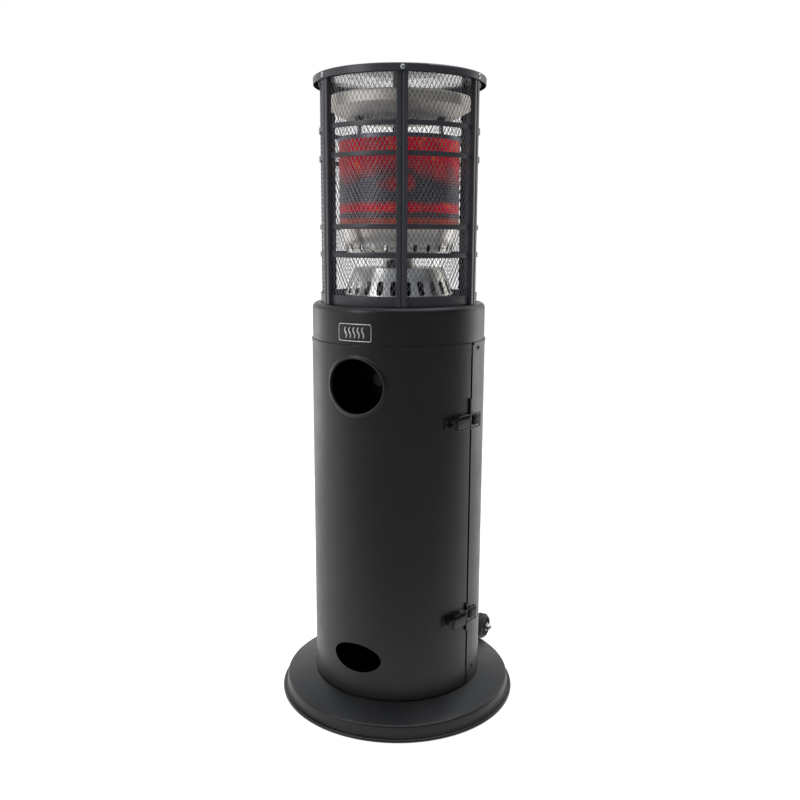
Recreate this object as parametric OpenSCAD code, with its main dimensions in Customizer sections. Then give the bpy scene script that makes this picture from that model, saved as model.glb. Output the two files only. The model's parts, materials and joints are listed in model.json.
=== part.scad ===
/* [Overall] */
// Height from the floor to the top of the lid
total_h = 1370; // [1350:1:1390]
// Thickness of the outer steel sheet
sheet = 1.2; // [1:0.1:1.5]
// Play left between curved sheets that lie on each other
sheet_gap = 0.3; // [0.2:0.05:0.4]

/* [Base] */
// Radius of the base plate at its rolled rim
base_r = 270.7; // [266:0.1:276]
// Radius of the raised ridge inside the rim
ridge_r = 259.5; // [256:0.1:262]
// Height of the ridge above the floor
ridge_z = 33; // [28:0.1:35]
// Height of the seat on which the barrel stands
seat_z = 51; // [44:0.5:52]
// Radius of the well in which the gas bottle stands
well_r = 164; // [160:1:166]

/* [Barrel] */
// Outer radius of the door and of the rear shell
barrel_r = 191; // [188:0.1:194]
// Height of the seam between the barrel and the collar
seam_z = 828; // [820:1:834]
// Half of the angle that the door spans
door_half = 82.3; // [76:0.1:84]
// Width of the gap along each side of the door
door_gap = 6.5; // [5:0.1:7]
// Depth of the channel behind the gap
channel_d = 10; // [8:0.5:12]
// Angle that the edge of the rear shell reaches under the door
lip_angle = 5; // [4:0.5:7]

/* [Door openings] */
// Radius of the hole in front of the controls
control_r = 57; // [50:0.5:60]
// Width of the control hole for each unit of its height
control_wide = 1.07; // [1:0.01:1.1]
// Height of the controls
control_z = 742; // [738:1:746]
// Width of the lower vent
vent_w = 115; // [90:1:130]
// Height of the lower vent
vent_h = 65; // [50:1:80]
// Height of the middle of the lower vent
vent_z = 142; // [134:1:150]

/* [Collar] */
// Height of the deck that closes the collar
deck_z = 905; // [903:1:907]
// Radius of the shoulder between collar and deck
shoulder_r = 12; // [8:1:14]

/* [Guard] */
// Radius to the outside of the guard's bars, 1.5 mm more
guard_r = 172.4; // [171:0.1:173]
// Radius to the face of each upright, which stands proud of the hoops
upright_r = 178.4; // [176:0.1:178.6]
// Width of an upright
upright_w = 22; // [20:0.5:24]
// Depth of an upright
upright_d = 10; // [9:0.5:11]
// Sheet of the uprights and hoops
guard_sheet = 1.6; // [1.4:0.1:2]
// Height of each hoop bar
hoop_h = 10; // [8:0.5:12]
// Thickness of the expanded metal
mesh_t = 1.3; // [1.2:0.1:1.5]

/* [Lid] */
// Outer radius of the lid
lid_r = 182.2; // [181.5:0.1:184]
// Height of the lid's rim
lid_h = 15; // [14:0.5:17]

/* [Burner] */
// Radius of the glowing screen
screen_r = 129; // [126:0.5:131]
// Height of the foot of the screen
screen_z0 = 1068; // [1066:1:1070]
// Height of the top of the screen
screen_z1 = 1247; // [1244:1:1248]
// Number of slots around the burner housing and the bowl
slot_count = 24; // [20:1:26]

/* [Hinges and latches] */
// Radius of a hinge pin
pin_r = 3; // [2.5:0.1:3.5]
// Radial play of a pin in its bore
running = 0.05; // [0.02:0.01:0.1]
// Radius of a latch's bail wire
wire_r = 1.5; // [1.3:0.1:1.6]

/* [Wheels] */
// Outer radius of a wheel
wheel_r = 32; // [30:0.5:33]
// Width of a wheel
wheel_w = 28; // [26:0.5:30]
// Radius of the axle
axle_r = 5; // [4.5:0.1:5.5]

/* [Hidden] */
$fn = 96;

black = [0.14, 0.14, 0.15];
guard_grey = [0.27, 0.27, 0.29];
stainless = [0.75, 0.72, 0.67];
brass = [0.80, 0.64, 0.34];
copper = [0.72, 0.45, 0.30];
zinc = [0.62, 0.63, 0.65];
rubber = [0.07, 0.07, 0.07];

// angles run from the front towards the right-hand side
upright_angles = [for (i = [0 : 5]) 30 + 60 * i];
hoop_heights = [1007, 1064, 1205, 1262.6];
barrel_inner = barrel_r - sheet;
gap_angle = door_gap / 2 / barrel_r * 180 / PI;
lip_r = barrel_inner - sheet_gap;
collar_r = lip_r;
shell_screws = [[91, 83], [269, 83], [91, 814], [180, 814], [269, 814]];
saddle_screws = [[166, 62], [194, 62], [166, 84], [194, 84]];
skirt_z = seam_z - 28;
foot_top = seat_z + 44;
shell_z0 = seat_z + 0.3;
door_z0 = seat_z + 2.5;
door_z1 = seam_z - 1;

guard_z0 = deck_z + 0.2;
guard_z1 = total_h - sheet - 0.4;
hoop_r = guard_r - 1.5;
bar_half = asin((upright_w / 2 + 0.3) / hoop_r);
mesh_r = hoop_r - guard_sheet - 0.9;
mesh_z0 = deck_z + 21;
mesh_z1 = total_h - 17;
tab_r = lid_r - sheet - 0.4;
lid_screw_z = total_h - 8;

housing_top = 979;
throat_r = 36;
reflector_z = 1287;
spacer_h = 14;
reflector_rim = 1328;
post_angles = [-30, 90, 210];
post_r = 98;

hinge_r = barrel_r + 6;
hinge_heights = [130, 740];
knuckle_r = 5;
knuckle_h = 18;
leaf_t = 1.7;
leaf_end = 11;

latch_a = 75.4;
latch_heights = [219, 661];
tab_offsets = [-4, 16];
lever_pivot = [0, 11.5];
bail_pivot = [-30, 10];
hook = [48.6, 3.2];
lever_top = 16.5;
lever_low = 7;
ear_z = 8;
cheek_z = 11;
arm_z = 15;
lever_pin_r = 2;

panel_y = -62;
panel_t = 1.5;
spindle_r = 4;
sleeve_r = 7;
knob_r = 21;
button_at = [34, 710];
button_r = 6.5;
valve_half = 28;
outlet_y = panel_y + 19;
inlet_y = panel_y + 29;
line_y = -50;
pilot_x = 10;
couple_x = 18;
lead_x = button_at.x;
lead_y = -31;

wheel_y = 280;
wheel_z = 42.7;
wheel_x0 = 85;

// places children on the barrel: local X follows the wall, local -Y points outwards
module around(angle, radius, z) {
    rotate([0, 0, angle])
        translate([0, -radius, z])
            children();
}

// solid of revolution between two angles counted from the front
module turned(a0, a1) {
    rotate([0, 0, a0 - 90])
        rotate_extrude(angle = a1 - a0)
            children();
}

// part of a tube between two radii, two heights and two angles
module wall(r0, r1, z0, z1, a0, a1) {
    turned(a0, a1)
        translate([r0, z0])
            square([r1 - r0, z1 - z0]);
}

// full tube
module ring(r0, r1, z0, z1) {
    rotate_extrude()
        translate([r0, z0])
            square([r1 - r0, z1 - z0]);
}

// cylinder along Y from y0 to y1
module rod_y(x, z, radius, y0, y1) {
    translate([x, y1, z])
        rotate([90, 0, 0])
            cylinder(h = y1 - y0, r = radius);
}

// cylinder along X from x0 to x1
module rod_x(y, z, radius, x0, x1) {
    translate([x0, y, z])
        rotate([0, 90, 0])
            cylinder(h = x1 - x0, r = radius);
}

// cutter with round ends, upright, pushed through along Y
module slot_cutter(width, height, depth) {
    straight = height / 2 - width / 2;
    for (side = [-1, 1])
        translate([0, 0, side * straight])
            rotate([90, 0, 0])
                cylinder(h = depth, r = width / 2, center = true);
    cube([width, depth, 2 * straight], center = true);
}

// radial holes for screws, each place being [angle, height]
module wall_holes(places, radius) {
    for (place = places)
        around(place[0], radius, place[1])
            rotate([90, 0, 0])
                cylinder(h = 12, r = 2.1, center = true);
}

// quarter bend of a round bar in the plane of its own X and Y
module bend(bend_r, bar_r) {
    rotate_extrude(angle = 90)
        translate([bend_r, 0])
            circle(r = bar_r);
}

// bend in the YZ plane around a centre; quarter 0 runs from +Y to +Z
module elbow(x, y, z, quarter, bend_r, bar_r) {
    translate([x, y, z])
        rotate([0, 0, 90])
            rotate([90, 0, 0])
                rotate([0, 0, 90 * quarter])
                    bend(bend_r, bar_r);
}

// points on an ellipse
function ellipse(a, b, count) = [for (i = [0 : count - 1])
    [a * cos(360 * i / count), b * sin(360 * i / count)]];

// pressed steel foot with a rolled rim and a sunken well for the bottle
module base_plate() {
    t = 2;
    bead = 4;
    color(black)
        union() {
            rotate_extrude()
                polygon([
                    [0, 0], [well_r, 0], [well_r + 8, seat_z - t], [barrel_r + 2, seat_z - t],
                    [ridge_r - 1, ridge_z - t], [base_r - t - 1, bead], [base_r - t - 1, bead - 1],
                    [base_r - 1, bead - 1], [base_r - 1, bead], [ridge_r, ridge_z],
                    [barrel_r + 3, seat_z], [well_r + 6, seat_z], [well_r - 2, t], [0, t]
                ]);
            rotate_extrude()
                translate([base_r - bead, bead])
                    circle(r = bead);
        }
}

// ring bolted to the seat, inside the barrel
module foot_ring() {
    color(black)
        difference() {
            union() {
                ring(lip_r - sheet, lip_r, seat_z + 0.1, foot_top);
                ring(lip_r - 13, lip_r - sheet / 2, seat_z + 0.1, seat_z + 1.5);
            }
            wall_holes(shell_screws, lip_r);
            wall_holes(saddle_screws, lip_r);
        }
}

// fixed rear half of the barrel, with a channel behind each side of the door
module rear_shell() {
    edge = door_half + gap_angle;
    floor_r = barrel_r - channel_d;
    color(black)
        difference() {
            union() {
                wall(barrel_inner, barrel_r, shell_z0, seam_z - 0.5, edge, 360 - edge);
                for (side = [0, 1])
                    mirror([side, 0, 0]) {
                        wall(floor_r - sheet, floor_r, foot_top + 2, skirt_z - 2, edge - lip_angle, edge + 0.5);
                        wall(floor_r - 0.9, barrel_r - 0.3, foot_top + 3, skirt_z - 3, edge + 0.1, edge + 0.4);
                    }
            }
            wall_holes(shell_screws, barrel_r);
            wall_holes(saddle_screws, barrel_r);
        }
}

// collar and deck, in one drawn sheet
module collar() {
    inner = collar_r - sheet;
    color(black)
        difference() {
            union() {
                ring(inner, collar_r, skirt_z, deck_z - shoulder_r);
                ring(30, collar_r - shoulder_r, deck_z - sheet, deck_z);
                rotate_extrude()
                    translate([collar_r - shoulder_r, deck_z - shoulder_r])
                        intersection() {
                            difference() {
                                circle(r = shoulder_r);
                                circle(r = shoulder_r - sheet);
                            }
                            square(shoulder_r);
                        }
            }
            wall_holes(shell_screws, collar_r);
            for (x = [pilot_x, couple_x])
                translate([x, line_y, deck_z])
                    cylinder(h = 10, r = 3.5, center = true);
            translate([lead_x, lead_y, deck_z])
                cylinder(h = 10, r = 4, center = true);
            for (angle = upright_angles)
                around(angle, upright_r - 26, deck_z)
                    cylinder(h = 8, r = 2.1, center = true);
        }
}

// plain round-cornered plate with a raised border and three upright bars
module badge() {
    half_a = 12.1;
    half_w = collar_r * sin(half_a);
    half_h = 19;
    middle = 853;
    color(zinc)
        difference() {
            wall(collar_r + 0.1, collar_r + 2.2, middle - half_h, middle + half_h, -half_a, half_a);
            difference() {
                wall(collar_r + 1.4, collar_r + 3, middle - half_h + 2, middle + half_h - 2,
                    -half_a + 0.6, half_a - 0.6);
                for (x = [-16, 0, 16])
                    translate([x, -collar_r, middle])
                        cube([3.2, 12, 22], center = true);
            }
            for (side_x = [-1, 1], side_z = [-1, 1])
                translate([side_x * half_w, -collar_r + 4, middle + side_z * half_h])
                    rotate([0, 45, 0])
                        cube([6, 20, 6], center = true);
        }
}

// stainless drum around the foot of the burner, with upright slots
module burner_housing() {
    foot_r = 118;
    top_r = 96;
    bend_z = 922;
    t = 1;
    color(stainless)
        difference() {
            rotate_extrude()
                polygon([
                    [foot_r + 6, deck_z + 0.1], [foot_r + 6, deck_z + t], [foot_r, deck_z + t],
                    [foot_r, bend_z], [top_r, housing_top], [24, housing_top],
                    [24, housing_top - t], [top_r - t, housing_top - t], [foot_r - t, bend_z],
                    [foot_r - t, deck_z + 0.1]
                ]);
            for (i = [0 : slot_count - 1])
                around(360 / slot_count * (i + 0.5), foot_r - 4, 938)
                    slot_cutter(14, 30, 24);
            for (x = [pilot_x, couple_x])
                translate([x, line_y, housing_top])
                    cylinder(h = 10, r = 3.5, center = true);
            translate([lead_x, lead_y, housing_top])
                cylinder(h = 10, r = 4.2, center = true);
        }
}

// tube hung under the drum's top, which keeps wind from the jet
module air_shield() {
    color(black)
        ring(70, 71, 914, housing_top - 1.1);
}

// tube that draws in air around the jet and carries the mixture to the bowl
module mixing_tube() {
    t = 1.5;
    color(stainless)
        rotate_extrude()
            polygon([
                [26, 878], [20, 900], [20, housing_top + 1], [throat_r, housing_top + 1],
                [throat_r, 1003], [throat_r - t, 1003], [throat_r - t, housing_top + 1 + t],
                [20 - t, housing_top + 1 + t], [20 - t, 900], [26 - t, 878]
            ]);
}

// bowl that spreads the mixture below the screen, with a ring of small slots
module burner_bowl() {
    t = 1;
    bottom = 1003;
    corner = 20;
    side_r = 116;
    color(stainless)
        difference() {
            rotate_extrude()
                difference() {
                    union() {
                        polygon([
                            [throat_r - 4, bottom + 0.1], [side_r - corner, bottom + 0.1],
                            [side_r + 0.3, bottom + corner], [screen_r, screen_z0 - 4],
                            [screen_r, screen_z0 - 0.2], [throat_r - 4, screen_z0 - 0.2]
                        ]);
                        translate([side_r - corner, bottom + corner + 0.1])
                            circle(r = corner);
                    }
                    polygon([
                        [0, bottom + t + 0.1], [side_r - corner, bottom + t + 0.1],
                        [side_r + 0.3 - t, bottom + corner], [screen_r - t, screen_z0 - 4],
                        [screen_r - t, screen_z0 + 1], [0, screen_z0 + 1]
                    ]);
                    translate([side_r - corner, bottom + corner + 0.1])
                        circle(r = corner - t);
                }
            for (i = [0 : slot_count - 1])
                around(360 / slot_count * i, side_r, 1021)
                    slot_cutter(8, 15, 24);
        }
}

// cylindrical screen that glows
module emitter_screen() {
    color([0.75, 0.16, 0.08])
        ring(screen_r - 1, screen_r, screen_z0, screen_z1);
}

// lid of the screen, turned down over its edge
module emitter_cap() {
    color(stainless)
        difference() {
            union() {
                ring(0, screen_r + 1.6, screen_z1 + 0.2, screen_z1 + 1.4);
                ring(screen_r + 0.4, screen_r + 1.6, screen_z1 - 7, screen_z1 + 1);
            }
            for (angle = post_angles)
                around(angle, post_r, screen_z1)
                    cylinder(h = 8, r = 3.1, center = true);
        }
}

// shouldered studs between screen and reflector, each with a nut above and a head below
module reflector_posts() {
    color(zinc)
        for (angle = post_angles)
            around(angle, post_r, 0) {
                translate([0, 0, screen_z1 - 4.2])
                    cylinder(h = 4, r = 6);
                translate([0, 0, screen_z1 - 1])
                    cylinder(h = reflector_z - screen_z1 + 9, r = 3);
                translate([0, 0, screen_z1 + 1.5])
                    cylinder(h = reflector_z - screen_z1 - spacer_h - 1.8, r = 4.6);
                translate([0, 0, reflector_z + 1.2])
                    cylinder(h = 5, r = 6.5, $fn = 6);
            }
}

// sleeves between the studs' shoulders and the reflector
module post_spacers() {
    color(rubber)
        for (angle = post_angles)
            around(angle, post_r, reflector_z - spacer_h - 0.1)
                difference() {
                    cylinder(h = spacer_h, r = 8.5);
                    translate([0, 0, -1])
                        cylinder(h = 40, r = 3.1);
                }
}

// dish that turns the heat outwards
module top_reflector() {
    t = 1;
    floor_r = 113;
    rim_r = 150;
    cone_z = 1307;
    color(stainless)
        difference() {
            union() {
                rotate_extrude()
                    polygon([
                        [0, reflector_z], [floor_r, reflector_z], [rim_r, cone_z],
                        [rim_r, reflector_rim], [rim_r - t, reflector_rim], [rim_r - t, cone_z + t],
                        [floor_r, reflector_z + t], [0, reflector_z + t]
                    ]);
                rotate_extrude()
                    translate([rim_r, reflector_rim])
                        circle(r = 1.8);
            }
            for (angle = post_angles)
                around(angle, post_r, reflector_z)
                    cylinder(h = 8, r = 3.1, center = true);
        }
}

// flat lid with a turned-down rim
module lid() {
    corner = 3;
    color(guard_grey)
        difference() {
            union() {
                ring(0, lid_r - corner, total_h - sheet, total_h);
                ring(lid_r - sheet, lid_r, total_h - lid_h, total_h - corner);
                rotate_extrude()
                    translate([lid_r - corner, total_h - corner])
                        intersection() {
                            difference() {
                                circle(r = corner);
                                circle(r = corner - sheet);
                            }
                            square(corner);
                        }
            }
            for (angle = upright_angles)
                around(angle, lid_r, lid_screw_z)
                    rotate([90, 0, 0])
                        cylinder(h = 8, r = 2.1, center = true);
        }
}

// folded upright with a groove down its face, a foot on the deck and a tab under the lid
module upright(index) {
    t = guard_sheet;
    half = upright_w / 2;
    color(guard_grey)
        rotate([0, 0, upright_angles[index]])
            difference() {
                union() {
                    translate([0, -upright_r, guard_z0])
                        linear_extrude(guard_z1 - guard_z0)
                            polygon([
                                [-half, 0], [-2.5, 0], [0, 2.5], [2.5, 0], [half, 0],
                                [half, upright_d], [half - t, upright_d], [half - t, t],
                                [3.1, t], [0, 2.5 + t], [-3.1, t], [-half + t, t],
                                [-half + t, upright_d], [-half, upright_d]
                            ]);
                    translate([-8, -upright_r + 3, guard_z0])
                        cube([16, 30, t]);
                    translate([-8, -tab_r, guard_z1 - t])
                        cube([16, tab_r - upright_r + 4, t]);
                    translate([-8, -tab_r, lid_screw_z - 5])
                        cube([16, t, guard_z1 - lid_screw_z + 5]);
                }
                translate([0, -upright_r + 26, guard_z0])
                    cylinder(h = 8, r = 2.1, center = true);
                translate([0, -tab_r, lid_screw_z])
                    rotate([90, 0, 0])
                        cylinder(h = 8, r = 2.1, center = true);
            }
}

// six bars that run from upright to upright
module bars(z0, z1) {
    color(guard_grey)
        for (angle = upright_angles)
            wall(hoop_r - guard_sheet, hoop_r, z0, z1, angle + bar_half, angle + 60 - bar_half);
}

module hoop(index) {
    bars(hoop_heights[index] - hoop_h / 2, hoop_heights[index] + hoop_h / 2);
}

module bottom_band() {
    bars(guard_z0, deck_z + 20);
}

module top_band() {
    bars(total_h - 15, total_h - sheet - 0.6);
}

// flat strips of expanded metal, four to each bay
module guard_mesh() {
    strips = 4;
    bay = 60 - 2 * bar_half;
    strip_w = 2 * mesh_r * sin(bay / strips / 2) - 0.4;
    height = mesh_z1 - mesh_z0;
    rows = 11;
    pitch_w = strip_w / 2;
    pitch_h = height / rows;
    half_w = pitch_w / 2 - 1.6;
    half_h = pitch_h / 2 - 3.4;
    color(guard_grey)
        for (angle = upright_angles, i = [0 : strips - 1])
            around(angle + bar_half + bay / strips * (i + 0.5), mesh_r - 2, mesh_z0)
                rotate([90, 0, 0])
                    linear_extrude(mesh_t)
                        difference() {
                            translate([-strip_w / 2, 0])
                                square([strip_w, height]);
                            for (row = [0 : 2 * rows - 2], side = [-1, 0, 1])
                                if ((row % 2 == 0) == (side != 0))
                                    translate([side * pitch_w / 2, (row + 1) * pitch_h / 2])
                                        polygon([[-half_w, 0], [0, -half_h], [half_w, 0], [0, half_h]]);
                        }
}

// panel behind the round hole, hung from the deck on two straps
module control_bracket() {
    half_w = 62;
    strap_w = 14;
    top = deck_z - sheet - 0.1;
    color(black)
        difference() {
            union() {
                translate([-half_w, panel_y - panel_t, 676])
                    cube([2 * half_w, panel_t, 130]);
                for (side = [0, 1])
                    mirror([side, 0, 0]) {
                        translate([half_w - strap_w, panel_y - panel_t, 800])
                            cube([strap_w, panel_t, top - 800]);
                        translate([half_w - strap_w, panel_y - panel_t, top - panel_t])
                            cube([strap_w, 26, panel_t]);
                    }
            }
            rod_y(0, control_z, sleeve_r + 0.06, panel_y - 5, panel_y + 5);
            rod_y(button_at.x, button_at.y, 8.1, panel_y - 5, panel_y + 5);
        }
}

// gas valve with thermostat block, outlet stub above and inlet stub below
module gas_valve() {
    front = panel_y + 0.1;
    block_y = panel_y + 8;
    color(zinc)
        difference() {
            union() {
                translate([-valve_half, block_y, 720])
                    cube([2 * valve_half, 41, 44]);
                rod_y(0, control_z, 12, front, block_y + 1);
                translate([0, outlet_y, 763])
                    cylinder(h = 15, r = 8, $fn = 6);
                translate([0, inlet_y, 708])
                    cylinder(h = 13, r = 10, $fn = 6);
            }
            rod_y(0, control_z, sleeve_r + 0.06, front - 1, panel_y + 11);
            rod_y(0, control_z, spindle_r + 0.3, panel_y + 10, panel_y + 29);
            translate([0, outlet_y, 766])
                cylinder(h = 20, r = 4.1);
        }
}

// nipple with a plain tail for the hose union
module gas_inlet() {
    color(brass)
        union() {
            translate([0, inlet_y, 694])
                cylinder(h = 13.8, r = 9, $fn = 6);
            translate([0, inlet_y, 672])
                cylinder(h = 23, r = 6.58);
        }
}

// spark unit behind the panel
module igniter_housing() {
    color(black)
        difference() {
            union() {
                rod_y(button_at.x, button_at.y, 11, panel_y - panel_t - 2.1, panel_y - panel_t - 0.1);
                rod_y(button_at.x, button_at.y, 8, panel_y - panel_t - 2, panel_y + 20);
            }
            rod_y(button_at.x, button_at.y, button_r + 0.06, panel_y - 10, panel_y + 17.5);
        }
}

// pipe from the valve to the jet
module gas_tube() {
    bar = 4;
    turn = 20;
    color(zinc)
        union() {
            translate([0, outlet_y, 767])
                cylinder(h = 34, r = bar);
            elbow(0, outlet_y + turn, 801, 1, turn, bar);
            rod_y(0, 801 + turn, bar, outlet_y + turn, -turn);
            elbow(0, -turn, 801 + 2 * turn, 3, turn, bar);
            translate([0, 0, 801 + 2 * turn])
                cylinder(h = 28, r = bar);
        }
}

// brass jet that points up into the mixing tube
module injector() {
    color(brass)
        difference() {
            union() {
                translate([0, 0, 869.2])
                    cylinder(h = 8, r = 8, $fn = 6);
                translate([0, 0, 877])
                    cylinder(h = 10, r1 = 6, r2 = 3);
            }
            translate([0, 0, 860])
                cylinder(h = 40, r = 0.9);
        }
}

// small bracket on the drum that holds the pilot nozzle beside the electrode
module pilot_burner() {
    plate_z = housing_top + 0.1;
    color(black)
        difference() {
            union() {
                translate([2, line_y - 8, plate_z])
                    cube([38, 20, 1.5]);
                translate([lead_x - 6, line_y + 10, plate_z])
                    cube([12, 15, 1.5]);
                translate([pilot_x, line_y, plate_z])
                    cylinder(h = 17, r = 5.5);
                translate([2, line_y - 9.5, plate_z])
                    cube([38, 1.6, 15]);
            }
            translate([pilot_x, line_y, plate_z - 1])
                cylinder(h = 30, r = 2.1);
            translate([pilot_x, line_y, plate_z + 13])
                rotate([0, 90, 0])
                    cylinder(h = 12, r = 2);
            translate([couple_x, line_y, plate_z - 1])
                cylinder(h = 10, r = 1.8);
            translate([lead_x, lead_y, plate_z - 1])
                cylinder(h = 10, r = 3.7);
        }
}

// thin pipe that feeds the pilot
module pilot_tube() {
    color(copper)
        translate([pilot_x, line_y, 764.2])
            cylinder(h = housing_top - 764.2 + 6, r = 2);
}

// flame sensor and its capillary
module thermocouple() {
    color(copper)
        union() {
            translate([couple_x, line_y, 764.2])
                cylinder(h = housing_top - 764.2 + 3, r = 1.5);
            translate([couple_x, line_y, housing_top + 2])
                cylinder(h = 16, r = 2.4);
        }
}

// ceramic insulator with a steel tip
module spark_electrode() {
    color([0.92, 0.90, 0.86])
        union() {
            translate([lead_x, lead_y, housing_top - 8])
                cylinder(h = 20, r = 3.5);
            translate([lead_x, lead_y, housing_top + 11])
                cylinder(h = 8, r = 1);
        }
}

// insulated lead from the spark unit to the electrode
module ignition_lead() {
    bar = 1.8;
    turn = 10;
    start_y = panel_y + 20.2;
    color([0.85, 0.83, 0.80])
        union() {
            rod_y(lead_x, button_at.y, bar, start_y, lead_y - turn);
            elbow(lead_x, lead_y - turn, button_at.y + turn, 3, turn, bar);
            translate([lead_x, lead_y, button_at.y + turn])
                cylinder(h = housing_top - 8.2 - button_at.y - turn, r = bar);
        }
}

// switch that shuts the gas when the heater leans
module tilt_switch() {
    color([0.20, 0.20, 0.22])
        union() {
            translate([-52, panel_y + 0.1, 690])
                cube([32, 16, 22]);
            rod_y(-36, 701, 6, panel_y + 16, panel_y + 22);
        }
}

// domed rivet head on the wall
module rivet(angle, radius, z) {
    around(angle, radius, z)
        rotate([90, 0, 0])
            cylinder(h = 2, r1 = 4, r2 = 2.6);
}

// hinge leaf; side is 1 on the door and -1 on the rear shell, knuckles lists [z0, z1] pairs
module hinge_leaf(side, knuckles) {
    plate_z = 1.5 * knuckle_h + 1;
    start = 7 / barrel_r * 180 / PI;
    seam = -door_half;
    root_r = barrel_r + 0.15;
    wall(root_r, root_r + leaf_t, -plate_z, plate_z,
        side > 0 ? seam + start : seam - leaf_end, side > 0 ? seam + leaf_end : seam - start);
    for (knuckle = knuckles)
        around(seam, hinge_r, knuckle[0])
            linear_extrude(knuckle[1] - knuckle[0])
                difference() {
                    union() {
                        circle(r = knuckle_r);
                        polygon([for (p = [[0.5, 2], [4.2, 1.2], [5.2, 4.45], [9, 4.45], [9, 5.7], [0.5, 5.7]])
                            [side * p.x, p.y]]);
                    }
                    circle(r = pin_r + running);
                }
    for (z = [-0.55, 0.55])
        rivet(seam + side * leaf_end * 0.72, root_r + leaf_t - 0.2, z * plate_z);
}

module fixed_hinge_leaves() {
    half = knuckle_h / 2;
    color(black)
        for (z = hinge_heights)
            translate([0, 0, z])
                hinge_leaf(-1, [[-3 * half, -half - 0.2], [half + 0.2, 3 * half]]);
}

module door_hinge_leaves() {
    half = knuckle_h / 2;
    color(black)
        for (z = hinge_heights)
            translate([0, 0, z])
                hinge_leaf(1, [[-half + 0.2, half - 0.2]]);
}

// headed pins that carry the door
module hinge_pins() {
    half = 1.5 * knuckle_h;
    color(zinc)
        for (z = hinge_heights)
            around(-door_half, hinge_r, z) {
                translate([0, 0, -half - 2])
                    cylinder(h = 2 * half + 3, r = pin_r);
                translate([0, 0, half + 0.2])
                    cylinder(h = 2.5, r = knuckle_r);
            }
}

// oval prism through the front of the barrel, radius being half its height
module control_opening(radius) {
    translate([0, -barrel_r / 2, control_z])
        rotate([90, 0, 0])
            linear_extrude(barrel_r)
                polygon(ellipse(radius * control_wide, radius, 72));
}

// front shell of the barrel, with the control hole, the lower vent and a guide tab at each latch
module door_shell() {
    edge = door_half - gap_angle;
    color(black)
        difference() {
            union() {
                wall(barrel_inner, barrel_r, door_z0, door_z1, -edge, edge);
                for (i = [0, 1])
                    wall(barrel_r - 0.5, barrel_r + 4.5, latch_heights[i] + tab_offsets[i] - 32,
                        latch_heights[i] + tab_offsets[i] + 32, 79.9, 81.2);
            }
            control_opening(control_r);
            translate([0, -barrel_r / 2, vent_z])
                rotate([90, 0, 0])
                    linear_extrude(barrel_r)
                        polygon(ellipse(vent_w / 2, vent_h / 2, 48));
        }
}

// raised ring around the control hole
module control_trim() {
    color(black)
        difference() {
            intersection() {
                wall(barrel_r + 0.15, barrel_r + 3.5, control_z - 80, control_z + 80, -25, 25);
                control_opening(control_r + 9);
            }
            control_opening(control_r + 0.5);
        }
}

// places children in a latch's own frame: X along the wall, Y outwards from it
module latch_frame(z) {
    rotate([0, 0, latch_a])
        translate([0, -barrel_r, z])
            mirror([0, 1, 0])
                children();
}

// plate riveted to the door, with two ears and the lever's pivot pin
module latch_base(z) {
    plate_h = 20;
    wall(barrel_r + 0.15, barrel_r + 1.8, z - plate_h / 2, z + plate_h / 2,
        latch_a - 17.1, latch_a + 3.6);
    latch_frame(z)
        for (side = [-1, 1])
            translate([0, 0, side * ear_z - 1])
                linear_extrude(2)
                    polygon([[-6, 1], [3, 1], [3, lever_pivot.y + 1], [1.5, lever_pivot.y + 2.8],
                        [-1.5, lever_pivot.y + 2.8], [-6, lever_pivot.y - 2]]);
    latch_frame(z)
        translate([lever_pivot.x, lever_pivot.y, -cheek_z - 1.6])
            cylinder(h = 2 * cheek_z + 3.2, r = lever_pin_r);
    for (step = [-15.6, -12.1])
        rivet(latch_a + step, barrel_r + 1.6, z);
}

module latch_bases() {
    color(black)
        for (z = latch_heights)
            latch_base(z);
}

// folded lever with a slanted finger lip
module lever(z) {
    t = 1.5;
    top = lever_top;
    low = lever_low;
    color(black)
        latch_frame(z)
            difference() {
                union() {
                    for (side = [-1, 1])
                        translate([0, 0, side * (cheek_z - t / 2) - t / 2])
                            linear_extrude(t)
                                polygon([[-39.5, top], [-45.5, low + 3], [-36, low], [3, low],
                                    [4.6, low + 3], [4.6, top - 3], [3, top]]);
                    translate([-40, top - t, -cheek_z])
                        cube([36, t, 2 * cheek_z]);
                    translate([0, 0, -cheek_z])
                        linear_extrude(2 * cheek_z)
                            polygon([[-38, top - t], [-39.5, top - t], [-46.5, low + 1.8],
                                [-52, low + 3], [-52, low + 4.5], [-48, low + 4], [-41, top], [-38, top]]);
                }
                translate([lever_pivot.x, lever_pivot.y, -20])
                    cylinder(h = 40, r = lever_pin_r + running);
                translate([bail_pivot.x, bail_pivot.y, -20])
                    cylinder(h = 40, r = wire_r + running);
            }
}

// wire loop from the lever to the catch
module bail(z) {
    reach = norm(hook - bail_pivot);
    slope = atan2(hook.y - bail_pivot.y, hook.x - bail_pivot.x);
    corner = 4;
    color(zinc)
        latch_frame(z)
            translate([bail_pivot.x, bail_pivot.y, 0])
                rotate([0, 0, slope])
                    union() {
                        translate([reach, 0, -arm_z + corner])
                            cylinder(h = 2 * (arm_z - corner), r = wire_r);
                        for (side = [0, 1])
                            mirror([0, 0, side]) {
                                translate([corner - 0.01, 0, arm_z])
                                    rotate([0, 90, 0])
                                        cylinder(h = reach - 2 * corner + 0.02, r = wire_r);
                                translate([reach - corner, 0, arm_z - corner])
                                    rotate([90, 0, 0])
                                        bend(corner, wire_r);
                                translate([corner, 0, arm_z - corner])
                                    rotate([90, 0, 0])
                                        rotate([0, 0, 90])
                                            bend(corner, wire_r);
                                translate([0, 0, cheek_z - 3])
                                    cylinder(h = arm_z - corner - cheek_z + 3.01, r = wire_r);
                            }
                    }
}

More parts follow.
